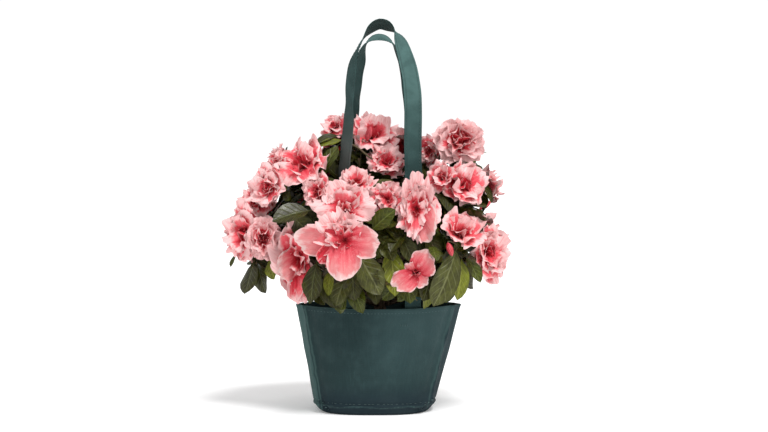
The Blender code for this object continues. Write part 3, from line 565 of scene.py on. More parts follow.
def onBag(x, z, side, proud):
    # the point of the front (side -1) or rear panel at x and z, and the direction out of the cloth there
    angle = np.linspace(0.02, math.pi - 0.02, 400)
    ring = bagWall(angle, np.full_like(angle, z), 0.0)
    point = np.array([x, np.interp(x, ring[::-1, 0], ring[::-1, 1]) * side, z])
    out = outOf(*point)
    return point + out * (bagRelief(point) + proud), out


def threadMaterial(name, dark, light):
    # twisted thread: two tones by a fine noise
    material, inputs, w = newMaterial(name, 0.6)
    w.join(w.mix(w.noise(w.place(), 1400.0), dark, light), inputs["Base Color"])
    return material


def makeStitches(name, centres, along, out, length, radius, material, finish):
    # each stitch is a short tube that dives at both ends: centre + along * t + out * (1 - t^4)
    t = np.array([-1.0, -0.7, 0.0, 0.7, 1.0])
    paths = centres[:, None, :] + along[:, None, :] * (t * length / 2)[None, :, None]
    paths = paths + out[:, None, :] * (radius * (0.5 - t**4))[None, :, None]
    joinTubes(name, paths, radius * np.array([0.5, 0.9, 1.0, 0.9, 0.5]), 5, material, finish)


def sewBag(name, row):
    # stitches along a line of both panels
    proud = row["proud"] * mm
    sewn = []
    for side in (-1, 1):
        for x, z in zip(row["x"] * mm, np.broadcast_to(row["z"] * mm, len(row["x"]))):
            here, away = onBag(x, z, side, proud)
            beside, _ = onBag(x + 0.5 * mm, z, side, proud)
            sewn.append((here, [0.0, 0, 1] if "upright" in row else unit(beside - here), away))
    centres, along, out = (np.array(part) for part in zip(*sewn))
    thread = threadMaterial(row["thread"], *row["tones"])
    makeStitches(name, centres, along, out, row["long"] * mm, row["thick"] * mm, thread, "bag_cloth")


bagShell = makeBag()
for name, row in stitching.items():
    sewBag(name, row)
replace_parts(bagShell, "carrier_bag")
print("bag made")


# Strap handles

strap = {
    "width": 17.5 * mm, "thickness": 1.4 * mm, "footDepth": 22 * mm, "legOut": 33.5 * mm, "topDepth": 22 * mm,
    "footTurn": 64,                  # turn of the outer face where it is sewn to the curved panel
    "rows": 210, "around": 28, "hemWidth": 2.2 * mm,
    "stitchStep": 3.2 * mm, "stitchLong": 2.0 * mm, "stitchThick": 0.17 * mm,
    # inside is painted shade, on the front handle's inner face
    "cloth": (0.022, 0.050, 0.048), "worn": (0.044, 0.098, 0.094), "inside": (0.008, 0.013, 0.012),
    "paler": (0.070, 0.140, 0.132), "palerFrom": 0.208, "palerTo": 0.33,    # a paler stretch, from and to these lengths along the strap in metres
    "grey": (0.074, 0.079, 0.074),   # greyer over part of the front handle's left leg
    "insideMap": 0.1,                # how far the inner face lies to the side on the map
}
# Each handle: side, height of the loop's top, middle line above the straight legs as (x, z) in millimetres,
# and turns of the outer face in degrees, as (x, z, turn) at points of that line: 90 faces outwards, 0 is
# edge on
handles = {
    "handle_front": {"title": "strapFront", "side": -1, "top": 383 * mm, "line": [
        (33.9, 233), (33.9, 262), (33.8, 290), (33.2, 312), (31.6, 329), (28.6, 344), (24.6, 358),
        (20.2, 369.5), (16.0, 375.8), (11.4, 379.4), (5.9, 382.1), (0.2, 383), (-6.0, 380.0), (-11.6, 374.4),
        (-16.5, 367), (-20.5, 358.5), (-24.0, 349.5), (-26.3, 335.7), (-27.9, 318), (-29.1, 300),
        (-30.4, 279), (-32.2, 254), (-33.2, 232)], "turns": [
        (33.5, 83, 64), (33.5, 120, 64), (33.7, 180, 80), (33.2, 312, 84), (28.6, 344, 64), (24.6, 358, 54),
        (20.2, 369.5, 38), (16.2, 377, 6), (13.5, 380.3, -30), (5.7, 382.6, -38), (-6.5, 381, -36),
        (-12.0, 376.4, -14), (-16.9, 369, 6), (-20.8, 360, 14), (-24.0, 349.5, 20), (-26.3, 335.7, 26),
        (-29.1, 300, 33), (-32.2, 254, 39), (-33.5, 150, 46), (-33.5, 120, 64), (-33.5, 83, 64)]},
    "handle_rear": {"title": "strapRear", "side": 1, "top": 373 * mm, "line": [
        (34.5, 235), (34.5, 280), (33.4, 308), (30.5, 330), (25.5, 347), (20.4, 357), (16.2, 363.5),
        (11.3, 369), (5.2, 372.2), (-1.8, 373), (-7.9, 371), (-12.9, 366.4), (-16.2, 359), (-18.4, 350),
        (-20.9, 338), (-23.2, 322), (-25.5, 306), (-28.3, 279), (-31.4, 249), (-33.0, 230)], "turns": [
        (33.5, 83, 64), (33.5, 120, 64), (34.2, 180, 78), (34.5, 280, 76), (30.5, 330, 62), (20.4, 357, 30),
        (11.3, 369, -22), (-1.8, 373, -24), (-7.9, 371, -18), (-12.9, 366.4, 6), (-18.4, 350, 34),
        (-23.2, 322, 40), (-28.3, 279, 40), (-33.0, 210, 46), (-33.5, 120, 64), (-33.5, 83, 64)]},
}


def panelDepth(x, z):
    # distance of the outer face of a panel from the middle plane
    halfWidth, halfDepth, up = bagHalves(np.array(z))
    wide, deep = bagPowers(up)
    cosine = (abs(x - bag["footShift"] * (1 - up)) / halfWidth) ** (1 / wide)
    return float(halfDepth * np.sqrt(1 - cosine**2) ** deep)


def strapDepth(z, loopHeight):
    # on its panel below the rim, then leaning evenly inwards to the loop's top
    lean = math.cos(math.radians(90 - strap["footTurn"]))
    reach = strap["width"] / 2 * lean
    level = min(z, bag["height"])
    chord = min(panelDepth(leg - reach, level) + panelDepth(leg + reach, level)
                for leg in (-strap["legOut"], strap["legOut"]))
    onPanel = chord / 2 - (bag["wall"] * 1.25 + strap["thickness"] / 2) / lean - 0.6 * mm
    climb = max(0.0, (z - bag["height"]) / (loopHeight - bag["height"]))
    return onPanel + (strap["topDepth"] - onPanel) * climb


def runningMean(values, reach):
    # keeps the value of both ends
    padded = np.concatenate([np.repeat(values[:1], reach), values, np.repeat(values[-1:], reach)])
    return np.convolve(padded, np.ones(2 * reach + 1) / (2 * reach + 1), "valid")


def strapFrame(handle):
    # centres, directions along, out of the face and across it, at evenly spaced stations, and the length
    side, foot = handle["side"], bag["height"] - strap["footDepth"]
    legs = np.array([[strap["legOut"], foot + rise] for rise in (0, 30 * mm, 70 * mm)])
    rough = smoothPath(np.concatenate([legs, np.array(handle["line"]) * mm, legs[::-1] * [-1, 1]]), 900)
    length = np.concatenate([[0], np.cumsum(np.linalg.norm(np.diff(rough, axis=0), axis=1))])
    share = np.linspace(0, 1, strap["rows"])
    x, z = (np.interp(share * length[-1], length, rough[:, k]) for k in (0, 1))
    marks = np.array(handle["turns"]) * [mm, mm, 1]
    at = np.linalg.norm(rough[None, :, :] - marks[:, None, :2], axis=2).argmin(axis=1)
    depth = np.array([strapDepth(height, handle["top"]) for height in z])
    sag = 0.35 * mm * np.sin(share * 41 + side) * ease((z - 0.12) / 0.05)
    centre = np.stack([x + sag, side * (depth + 0.6 * sag), z], axis=-1)
    along = unit(np.gradient(centre, axis=0))
    outwards = unit(np.stack([along[:, 2], 0 * share, -along[:, 0]], axis=-1))
    away = unit(np.cross(along, outwards))
    away = away * np.sign(away[:, 1:2] * side)
    turn = runningMean(np.interp(share * length[-1], length[at], marks[:, 2]), 2)
    turn = np.radians(turn + 3.5 * np.sin(share * 67 + side) * ease((z - 0.13) / 0.05))[:, None]
    normal = outwards * np.cos(turn) + away * np.sin(turn)
    return centre, along, normal, unit(np.cross(normal, along)), length[-1]


def strapMaterial():
    # the weave: paler near the top, greyer on a leg, darker at the hem; painted shade inside the front handle
    material, inputs, w = newMaterial("strapCloth", 0.8, bag["specular"])
    place = w.map()
    cloth = w.group(clothWeave, Place=place, Cloth=strap["cloth"], Worn=strap["worn"], Dots=1100.0)
    side, along, _ = w.split(place)
    inside = w.span(side, 0.45 * strap["insideMap"], 0.55 * strap["insideMap"])
    across = w.gap(side, w.times(inside, strap["insideMap"]))
    paleStretch = w.times(w.span(along, strap["palerFrom"] - 0.05, strap["palerFrom"] + 0.05),
                     w.span(along, strap["palerTo"], strap["palerTo"] + 0.02, 1.0, 0.0),
                     w.span(w.noise(place, 90.0, 3.0), 0.2, 0.7, 0.45, 1.0))
    leg, depth, height = w.split(w.place())
    innerFace = w.mix(w.span(depth, 0.0, 15 * mm), strap["inside"], strap["cloth"])    # painted shade on the front handle's inner face, plain cloth on the rear handle's
    greyer = w.times(w.span(leg, -20 * mm, -24 * mm), w.span(depth, 0.0, -5 * mm),
                    w.span(height, 150 * mm, 200 * mm), w.span(height, 310 * mm, 240 * mm))
    colour = w.coats(cloth["Color"], (paleStretch, strap["paler"]), (w.times(inside, 0.8), innerFace),
                     (greyer, strap["grey"]))
    fromHem = w.gap(across, strap["width"] / 2 - strap["hemWidth"])
    w.join(w.dimmed(colour, w.span(fromHem, 0.2 * mm, 0.9 * mm, 0.78, 1.0)), inputs["Base Color"])
    w.join(cloth["Roughness"], inputs["Roughness"])
    bumpOn(w, inputs, cloth["Height"], 0.45, 0.0004)
    return material


def makeStrap(title, handle, material):
    # a flat band with folded edges: across = cos^0.35 * width / 2, through = sin^0.6 * thickness / 2
    centre, _, normal, across, length = strapFrame(handle)
    rows, around = strap["rows"], strap["around"]
    angle = np.linspace(0, 2 * math.pi, around, endpoint=False)
    wide = power(np.cos(angle), 0.35) * strap["width"] / 2
    thick = power(np.sin(angle), 0.6) * strap["thickness"] / 2
    thick = thick * (1 - 0.28 * bump(np.abs(wide) - strap["width"] / 2 + strap["hemWidth"], 0.8 * mm))
    share = np.linspace(0, 1, rows)[:, None]
    crease = 0.45 * mm * np.sin(share * 63 + wide / (6 * mm)) * np.sin(share * 17 + 1)
    crease = crease + 0.25 * mm * np.sin(share * 151 - wide / (4 * mm))
    crease = crease * ease((centre[:, 2:] - 0.11) / 0.02)
    rings = centre[:, None, :] + across[:, None, :] * wide[:, None]
    rings = rings + normal[:, None, :] * (thick + crease)[..., None]
    v, u = np.meshgrid(np.linspace(0, length, rows), wide + strap["insideMap"] * (thick < 0), indexing="ij")
    uv = np.stack([u, v], axis=-1)
    return makePiece(title, rings, tubeFaces(1, rows, around), material, uv, "strap_cloth")


def sewStrap(title, handle, material):
    # two rows of stitches on each face, just inside the folded edges
    centre, along, normal, across, length = strapFrame(handle)
    numbers = np.arange(strap["rows"])
    at = np.linspace(2, strap["rows"] - 3, int(length / strap["stitchStep"]))
    rows = []
    for track, face in ((-1, -1), (-1, 1), (1, -1), (1, 1)):
        here = centre + across * track * (strap["width"] / 2 - strap["hemWidth"])
        here = here + normal * face * 0.34 * strap["thickness"]
        rows.append([np.stack([np.interp(at, numbers, field[:, k]) for k in range(3)], axis=-1)
                     for field in (here, along, normal * face)])
    centres, along, out = (np.concatenate(parts) for parts in zip(*rows))
    makeStitches(title, centres, unit(along), unit(out), strap["stitchLong"], strap["stitchThick"], material,
                 "strap_cloth")


strapCloth = strapMaterial()
strapThread = threadMaterial("strapThread", (0.030, 0.062, 0.060), (0.060, 0.115, 0.112))
for name, handle in handles.items():
    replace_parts(makeStrap(handle["title"], handle, strapCloth), name)
    sewStrap(handle["title"] + "Stitches", handle, strapThread)
print("straps made")


# Pot, soil and limbs

pot = {
    "base": 1.5 * mm, "height": 92 * mm, "foot": 41 * mm, "rim": 54 * mm, "wall": 1.5 * mm, "around": 96,
    "lip": 1.6 * mm, "lipHeight": 9 * mm, "plastic": (0.012, 0.012, 0.012), "dust": (0.045, 0.040, 0.035),
}
soil = {
    "top": 85.5 * mm, "around": 150, "dark": (0.010, 0.006, 0.003), "light": (0.060, 0.040, 0.022),
    "lumps": ((0.45, 4.1, 1), (0.35, 1.9, 2), (0.3, 1.1, 4), (0.35, 7, 3)),    # height, reach and turn
}
limb = {
    "stemFoot": 85.8 * mm, "stemTop": 150 * mm, "radii": (10.5 * mm, 6.6 * mm, 3.4 * mm), "flare": 5 * mm,
    "stemRings": 90, "stemAround": 40, "boughRings": 46, "boughAround": 16,
    "bough": (2.6 * mm, 1.7 * mm), "reach": 0.45, "gap": 0.3 * mm,
    "bark": (0.085, 0.050, 0.028), "barkPale": (0.21, 0.145, 0.095), "barkPatch": (0.10, 0.085, 0.055),
}
crownHeart = np.array([0, 0, 125 * mm])
goldenAngle = math.radians(137.5)

# Each mass: height at which its bough leaves the stem, the middle its stem makes for unless that is the mean
# place of what it carries, blooms as (place, (width, height), (turn, tilt), form), and the places its other
# shoots make for, in millimetres and degrees
masses = {
    "front_left": {"level": 112, "blooms": [
        ((-32, -104, 175), (88, 86), (-4, 2), "main"), ((-33, -82, 206), (62, 56), (-8, 32), "fan"),
        ((-21, -60, 228), (38, 36), (0, 45), "double")],
        "shoots": [(-18, -86, 124), (-46, -84, 128), (0, -86, 153), (7, -80, 181)]},
    "front_right": {"level": 120, "middle": (36.3, -79.9, 165.6), "blooms": [
        ((36, -88, 204), (46, 72), (-6, 4), "fringed"), ((8, -72, 213), (36, 37), (-10, 10), "double"),
        ((35, -90, 143), (50, 46), (-8, -6), "pair")],
        "shoots": [(30, -82, 172), (60, -76, 168), (20, -84, 126), (60, -72, 130)]},
    "low_left": {"level": 106, "middle": (-75.3, -63.3, 148.3), "blooms": [
        ((-80, -58, 151), (52, 82), (-12, -8), "drooping")],
        "shoots": [(-62, -78, 136), (-76, -60, 122), (-76, -60, 188)]},
    "left": {"level": 118, "middle": (-124.6, -14.6, 167.8), "blooms": [
        ((-130, -28, 178), (44, 58), (-38, 4), "double"), ((-113, -42, 173), (36, 46), (2, 2), "rose"),
        ((-120, -8, 207), (44, 40), (-40, 25), "loose")],
        "shoots": [(-126, -22, 136), (-144, -8, 156), (-104, -8, 166)]},
    "upper_left": {"level": 129, "middle": (-79.5, -24, 240.3), "blooms": [
        ((-74, -40, 246), (62, 54), (-24, 34), "loose"), ((-106, -36, 223), (48, 46), (-42, 12), "double"),
        ((-100, -20, 250), (36, 32), (-60, 25), "double"), ((-59, -55, 219), (31, 36), (-20, 5), "double")],
        "shoots": [(-56, -2, 262), (-86, 6, 238)]},
    "top_left": {"level": 138, "blooms": [
        ((-4, 2, 277), (54, 54), (24, 36), "loose"), ((-44, 8, 282), (36, 32), (-40, 24), "loose")],
        "shoots": [(-50, -4, 262), (-30, 18, 274), (-20, -20, 258)]},
    "top_centre": {"level": None, "blooms": [((8, -12, 248), (42, 38), (12, 30), "double")],
                   "shoots": [(-16, -22, 242), (20, -16, 234), (22, 18, 262)]},
    "upper_right": {"level": 129, "middle": (68.6, 2, 254), "blooms": [
        ((80, -6, 268), (54, 49), (10, 20), "rose"), ((50, 2, 257), (28, 34), (-30, -5), "double")],
        "shoots": [(98, 2, 246), (62, 26, 262), (54, -14, 238)]},
    "right_front": {"level": 113, "middle": (80.2, -55.5, 181.5), "blooms": [
        ((85, -42, 227), (52, 48), (24, 24), "loose"), ((60, -54, 234), (34, 32), (-26, 24), "trumpet"),
        ((82, -72, 183), (50, 46), (26, 30), "trumpet")],
        "shoots": [(96, -42, 202), (60, -52, 198), (74, -70, 150), (92, -58, 128)]},
    "right": {"level": 106, "middle": (114.3, -21.7, 161.7), "blooms": [
        ((108, -40, 158), (46, 62), (34, 4), "double")],
        "shoots": [(112, -18, 196), (118, -12, 132)]},
    "right_rear": {"level": 120, "blooms": [
        ((106, 50, 166), (54, 52), (112, 5), "double"), ((88, 40, 220), (54, 50), (118, 35), "double"),
        ((112, 8, 224), (36, 34), (88, 22), "double")],
        "shoots": [(122, 18, 168), (94, 60, 130)]},
    "rear_right": {"level": 112, "steer": -9, "blooms": [
        ((60, 94, 168), (58, 56), (150, 5), "double"), ((40, 86, 216), (52, 54), (158, 35), "fringed"),
        ((82, 80, 200), (36, 38), (132, 18), "double")],
        "shoots": [(50, 88, 128), (20, 100, 186)]},
    "rear_left": {"level": 106, "blooms": [
        ((-26, 101, 166), (62, 58), (192, 5), "double"), ((-20, 92, 218), (54, 48), (190, 38), "double"),
        ((16, 100, 152), (38, 40), (172, -8), "double")],
        "shoots": [(-14, 98, 126), (-56, 92, 140), (10, 90, 196)]},
    "left_rear": {"level": 112, "blooms": [
        ((-92, 72, 162), (58, 54), (232, 4), "double"), ((-70, 64, 218), (56, 54), (224, 36), "double"),
        ((-112, 32, 196), (42, 44), (252, 12), "double")],
        "shoots": [(-76, 76, 124), (-118, 34, 152), (-56, 90, 190)]},
    "rear_top": {"level": 129, "blooms": [
        ((26, 54, 260), (54, 50), (165, 58), "rose"), ((-38, 50, 263), (46, 48), (205, 52), "double")],
        "shoots": [(-8, 66, 252), (60, 58, 244)]},
}


def turned(radii, heights, around):
    # rings of a profile turned round Z
    angle = np.linspace(0, 2 * math.pi, around, endpoint=False)
    x, y = radii[:, None] * np.cos(angle), radii[:, None] * np.sin(angle)
    return np.stack([x, y, heights[:, None] + 0 * x], axis=-1)


def potRadius(z):
    # the outside of the pot: an even taper from foot to lip
    return pot["foot"] + (pot["rim"] - pot["lip"] - pot["foot"]) * z / pot["height"]


def potMaterial():
    # black plastic with dust in patches, duller where the dust lies
    material, inputs, w = newMaterial("potPlastic", 0.42)
    dust = w.span(w.noise(w.place(), 70.0, 4.0), 0.45, 0.8)
    w.join(w.mix(dust, pot["plastic"], pot["dust"]), inputs["Base Color"])
    w.join(w.span(dust, 0.0, 1.0, 0.35, 0.7), inputs["Roughness"])
    return material


def makePot():
    # a thin-walled cup with a rolled lip: a profile of (radius, height) turned round Z
    rim, top, wall = pot["rim"], pot["height"], pot["wall"]
    lip = top - pot["lipHeight"]
    radius, height = np.array([
        (0.01, 0), (potRadius(0) - 1.5 * mm, 0), (potRadius(0) - 0.4 * mm, 0.5 * mm),
        (potRadius(1.5 * mm), 1.5 * mm), (potRadius(lip / 2), lip / 2), (potRadius(lip), lip),
        (potRadius(lip) + pot["lip"], lip + 0.6 * mm), (rim - 0.3 * mm, top - 0.8 * mm),
        (rim - 0.5 * mm, top - 0.1 * mm), (rim - 1.0 * mm, top), (rim - 1.5 * mm, top - 0.2 * mm),
        (rim - wall - 0.4 * mm, top - 0.8 * mm), (potRadius(lip) - wall, lip),
        (potRadius(lip / 2) - wall, lip / 2), (potRadius(wall) - wall, wall), (0.01, wall)]).T
    rings = turned(radius, height + pot["base"], pot["around"])
    return makePiece("potShell", rings, tubeFaces(1, *rings.shape[:2]), potMaterial(), finish="pot_plastic")


def soilMaterial():
    # dark crumbs and light ones by a fine noise
    material, inputs, w = newMaterial("pottingMix", 0.95)
    crumb = w.noise(w.place(), 420.0, 5.0, 0.65)
    w.join(w.mix(w.span(crumb, 0.35, 0.7), soil["dark"], soil["light"]), inputs["Base Color"])
    bumpOn(w, inputs, crumb, 0.8, 0.0012)
    return material


def makeSoil():
    # the plug of earth: a tapered side under a low dome, lumpy except at its widest, by a sum of waves
    side = np.linspace(3.3 * mm, soil["top"] - pot["base"] - 3 * mm, 6)
    widths = potRadius(side) - 2.3 * mm
    across = np.linspace(1, 0.012, 34)
    heights = np.concatenate([side + pot["base"], soil["top"] - 2.6 * mm * across**3])
    rings = turned(np.concatenate([widths, widths[-1] * across]), heights, soil["around"])
    x, y = rings[..., 0], rings[..., 1]
    lumps = sum(height * mm * np.sin(x / (reach * mm) + turn) * np.sin(y / (reach * mm) + 2.1 * turn)
                for height, reach, turn in soil["lumps"])
    rings[..., 2] += (lumps - 0.5 * mm) * (np.hypot(x, y) < widths[-1] * 0.99)
    faces = tubeFaces(1, *rings.shape[:2])
    return makePiece("soilCrumb", rings, faces, soilMaterial(), finish="potting_soil")


def upStem(height):
    # 0 at the stem's foot, 1 at its top
    return (height - limb["stemFoot"]) / (limb["stemTop"] - limb["stemFoot"])


def stemRadius(height):
    # flared at the foot, then an even taper to the tip
    foot, neck, tip = limb["radii"]
    flare = np.exp(-(height - limb["stemFoot"]) / limb["flare"])
    return neck + (tip - neck) * upStem(height) + (foot - neck) * flare


def stemCentre(height):
    # the stem leans a little to one side and back again
    up = upStem(height)
    return np.stack([2.2 * mm * np.sin(2.6 * up), -1.6 * mm * np.sin(3.1 * up), height + 0 * up], axis=-1)


def massMiddle(mass):
    # where a mass's stem makes for: its own middle, or else the mean place of what it carries
    carried = [bloom[0] for bloom in mass["blooms"]] + mass["shoots"]
    return np.array(mass.get("middle", np.mean(carried, axis=0))) * mm


def limbRoute(mass):
    # points of a mass's bough, and the point and direction at which the mass takes over
    if mass["level"] is None:
        return None, stemCentre(limb["stemTop"]) + [0, 0, limb["gap"]], np.array([0.0, 0, 1])
    middle = massMiddle(mass)
    height = mass["level"] * mm
    towards = unit(middle - crownHeart)
    outwards = unit(towards * [1, 1, 0])
    start = stemCentre(height) + outwards * (stemRadius(height - 3 * mm) + limb["gap"])
    tip = crownHeart + (middle - crownHeart) * limb["reach"] + [mass.get("steer", 0) * mm, 0, 0]
    arrive = unit(unit(tip - start) * 0.6 + towards * 0.4)
    path = np.concatenate([[start], cubicPath(start + outwards * 2 * mm, outwards, tip, arrive, 5)])
    last = unit(path[-1] - path[-2])
    return path, path[-1] + last * limb["gap"], last


def barkMaterial():
    # dark furrows and pale ridges drawn out along Z, with patches of a third tone
    material, inputs, w = newMaterial("azaleaBark", 0.85)
    place = w.place()
    ridges = w.noise(place, (420.0, 420.0, 147.0), 5.0, 0.65)
    pale, patches = w.span(ridges, 0.38, 0.66), w.span(w.noise(place, 110.0, 3.0), 0.5, 0.75, 0.0, 0.6)
    colour = w.coats(limb["bark"], (pale, limb["barkPale"]), (patches, limb["barkPatch"]))
    w.join(colour, inputs["Base Color"])
    bumpOn(w, inputs, ridges, 0.7, 0.0008)
    return material


def barkRelief(rings, centres, depth):
    # long ridges that wind a little, as a share of each ring's radius: a product of waves round and along
    out = rings - centres[:, None, :]
    angle = np.arctan2(out[..., 1], out[..., 0])
    along = np.arange(len(rings))[:, None] * 1.0
    ridge = np.sin(angle * 7 + np.sin(along * 0.31) * 1.2) * np.sin(along * 0.23 + angle * 2)
    ridge = ridge + 0.6 * np.sin(angle * 13 + along * 0.17) + 0.5 * np.sin(along * 0.9 + angle * 3)
    return rings + out * (depth * ridge)[..., None]


def makeLimb(name, rings, bark):
    # one closed tube of bark
    return makePiece(name, rings, tubeFaces(1, *rings.shape[:2]), bark, finish="bark")


def makeLimbs(routes):
    # the stem, cut level at foot and tip, and a tapering bough to each mass
    bark = barkMaterial()
    heights = np.linspace(limb["stemFoot"], limb["stemTop"], limb["stemRings"])
    centres = stemCentre(heights)
    rings = tubeRings(centres[None], stemRadius(heights)[None], limb["stemAround"])[0]
    rings[..., 2] = heights[:, None]
    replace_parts(makeLimb("stemBark", barkRelief(rings, centres, 0.035), bark), "main_stem")
    swell = 1 + 0.05 * np.sin(np.arange(limb["boughRings"]) * 0.9)
    radii = np.linspace(*limb["bough"], limb["boughRings"]) * swell
    for name, (path, _, _) in routes.items():
        if path is not None:
            fine = smoothPath(path, limb["boughRings"])
            rings = tubeRings(fine[None], radii[None], limb["boughAround"])[0]
            bough = makeLimb("bough_" + name + "_bark", barkRelief(rings, fine, 0.045), bark)
            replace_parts(bough, "bough_" + name)


routes = {name: limbRoute(mass) for name, mass in masses.items()}
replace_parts(makePot(), "nursery_pot")
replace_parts(makeSoil(), "potting_soil")
makeLimbs(routes)
print("pot, soil and limbs made")


# Twigs, blooms and leaves

growth = {
    "toMiddle": 0.42, "fork": 1 * mm, "ends": 0.80,
    "stemRadii": (1.7 * mm, 1.35 * mm), "shootRadii": (1.2 * mm, 0.8 * mm),
    "sideRadii": (0.7 * mm, 0.45 * mm), "sideTwigs": 4, "sideLength": (16 * mm, 34 * mm),
    "leavesOn": (10, 10, 7),         # on a leafy shoot, a flowering shoot and a side twig
    "leafLength": (24 * mm, 38 * mm), "leafSlimness": (0.46, 0.60),
    "crowding": 5.4 * mm, "aroundFixed": 6.5 * mm,    # least distance between leaves, and from a chosen leaf
    "twigColour": (0.10, 0.055, 0.030), "twigGreen": (0.10, 0.11, 0.035),
}
# Blooms by form. The depth is a share of the bloom's half size. A whorl is (count, turn of its first petal,
# opening, curl, length, width, pleats, frill, tint); a single petal is (turn, opening, curl, length, width,
# pleats, frill, tint). Turns and openings are in degrees, lengths and widths are shares of the bloom's half
# size, and tints are the rows of the petals' sheet map: 0 plain, 1 and 2 with a wider and wider pale margin,
# 3 deep.
forms = {
    "double": {"depth": 0.60, "whorls": [
        (5, 10, 84, 18, 1.00, 0.98, 0.085, 0.065, 1), (4, 46, 60, 22, 0.90, 0.86, 0.10, 0.075, 2),
        (4, 8, 38, 20, 0.72, 0.64, 0.11, 0.075, 1), (3, 50, 15, 10, 0.48, 0.44, 0.10, 0.05, 3)]},
    "loose": {"depth": 0.60, "whorls": [
        (5, 25, 82, 12, 1.00, 0.90, 0.10, 0.065, 1), (3, 60, 52, 22, 0.84, 0.74, 0.12, 0.075, 2),
        (4, 8, 24, 16, 0.52, 0.50, 0.10, 0.06, 3)]},
    "rose": {"depth": 0.60, "whorls": [
        (6, 0, 88, 6, 0.98, 0.90, 0.06, 0.04, 2), (5, 28, 66, -14, 1.00, 0.92, 0.065, 0.04, 2),
        (5, 60, 50, -30, 0.92, 0.80, 0.07, 0.04, 2), (5, 15, 33, -38, 0.82, 0.66, 0.08, 0.04, 1),
        (4, 60, 16, -24, 0.68, 0.46, 0.10, 0.04, 3)]},
    "fringed": {"depth": 0.58, "whorls": [
        (5, 25, 54, 20, 0.74, 0.66, 0.12, 0.085, 2), (3, 70, 26, 12, 0.42, 0.40, 0.11, 0.06, 3)], "petals": [
        (92, 80, 14, 0.98, 0.92, 0.11, 0.085, 2), (130, 74, 18, 0.94, 0.84, 0.12, 0.09, 2),
        (56, 74, 18, 0.94, 0.84, 0.12, 0.09, 2), (166, 70, 20, 0.88, 0.74, 0.12, 0.085, 2),
        (208, 72, 20, 0.88, 0.70, 0.12, 0.085, 1), (240, 68, 20, 0.86, 0.64, 0.12, 0.08, 1),
        (110, 56, 22, 0.84, 0.76, 0.12, 0.09, 2), (70, 54, 22, 0.80, 0.70, 0.12, 0.09, 2),
        (22, 76, 12, 0.96, 0.72, 0.09, 0.06, 2), (-12, 84, 8, 1.04, 0.72, 0.06, 0.04, 1),
        (-50, 88, 10, 1.08, 0.86, 0.055, 0.035, 0), (-86, 78, 16, 1.02, 0.76, 0.09, 0.06, 1),
        (-110, 58, 20, 0.88, 0.58, 0.11, 0.07, 1)]},
    "main": {"depth": 0.55, "whorls": [
        (4, -60, 66, 10, 0.34, 0.34, 0.05, 0.03, 3), (3, 100, 40, 16, 0.30, 0.30, 0.06, 0.03, 3)], "petals": [
        (-3, 92, -4, 0.88, 0.56, 0.045, 0.022, 0), (-90, 85, 14, 0.95, 0.66, 0.085, 0.022, 0),
        (-116, 76, 14, 0.84, 0.44, 0.06, 0.024, 3), (190, 88, 8, 1.00, 0.60, 0.055, 0.024, 0),
        (62, 64, 8, 0.66, 0.42, 0.06, 0.045, 2), (88, 74, 10, 0.66, 0.40, 0.11, 0.07, 2),
        (110, 76, 12, 0.68, 0.42, 0.12, 0.08, 2), (134, 76, 14, 0.76, 0.42, 0.12, 0.08, 2),
        (158, 74, 16, 0.82, 0.40, 0.12, 0.08, 2), (146, 52, 22, 0.58, 0.38, 0.13, 0.075, 1),
        (118, 48, 22, 0.50, 0.34, 0.13, 0.075, 1), (166, 50, 22, 0.50, 0.32, 0.13, 0.07, 1),
        (84, 46, 20, 0.46, 0.34, 0.12, 0.07, 1), (44, 58, 16, 0.50, 0.36, 0.11, 0.06, 1)]},
    "fan": {"depth": 0.60, "whorls": [(4, 40, 22, 18, 0.46, 0.34, 0.13, 0.06, 1)], "petals": [
        (-6, 80, 14, 1.00, 0.70, 0.11, 0.07, 2), (28, 78, 14, 1.00, 0.80, 0.10, 0.06, 2),
        (62, 82, 10, 1.04, 0.88, 0.095, 0.055, 1), (98, 82, 12, 1.03, 0.88, 0.095, 0.055, 2),
        (134, 80, 14, 1.04, 0.84, 0.10, 0.06, 2), (168, 80, 12, 1.00, 0.76, 0.11, 0.07, 2),
        (204, 76, 16, 0.98, 0.70, 0.11, 0.07, 2), (-42, 78, 16, 0.96, 0.68, 0.11, 0.065, 2),
        (270, 68, 14, 0.80, 0.64, 0.11, 0.05, 1), (80, 54, 20, 0.84, 0.70, 0.10, 0.06, 1),
        (127, 52, 22, 0.80, 0.62, 0.11, 0.065, 2), (36, 52, 22, 0.78, 0.58, 0.11, 0.065, 2)]},
    "pair": {"depth": 0.55, "whorls": [(3, 130, 20, 14, 0.36, 0.26, 0.12, 0.05, 3)], "petals": [
        (46, 86, 10, 1.06, 0.96, 0.055, 0.03, 0), (222, 90, 6, 1.12, 0.90, 0.055, 0.03, 0),
        (120, 58, 16, 0.60, 0.48, 0.09, 0.045, 0), (-44, 76, 16, 0.66, 0.52, 0.08, 0.035, 0)]},
    "trumpet": {"depth": 1.10, "whorls": [
        (5, 18, 56, 26, 1.00, 0.84, 0.09, 0.05, 1), (4, 54, 34, 24, 0.84, 0.60, 0.11, 0.055, 2),
        (4, 10, 14, 12, 0.56, 0.32, 0.12, 0.05, 3)]},
    "drooping": {"depth": 1.0, "whorls": [(4, 36, 28, 20, 0.60, 0.44, 0.12, 0.06, 1)], "petals": [
        (98, 68, 16, 0.90, 0.84, 0.10, 0.06, 1), (54, 64, 20, 0.86, 0.70, 0.10, 0.06, 1),
        (148, 62, 20, 0.94, 0.80, 0.10, 0.06, 2), (-78, 84, 8, 1.08, 0.74, 0.09, 0.05, 1),
        (-108, 74, 20, 1.04, 0.70, 0.10, 0.055, 1), (-54, 72, 18, 1.02, 0.68, 0.10, 0.055, 1),
        (-92, 54, 22, 0.80, 0.64, 0.11, 0.055, 3), (198, 60, 16, 0.88, 0.70, 0.10, 0.055, 0)]},
}
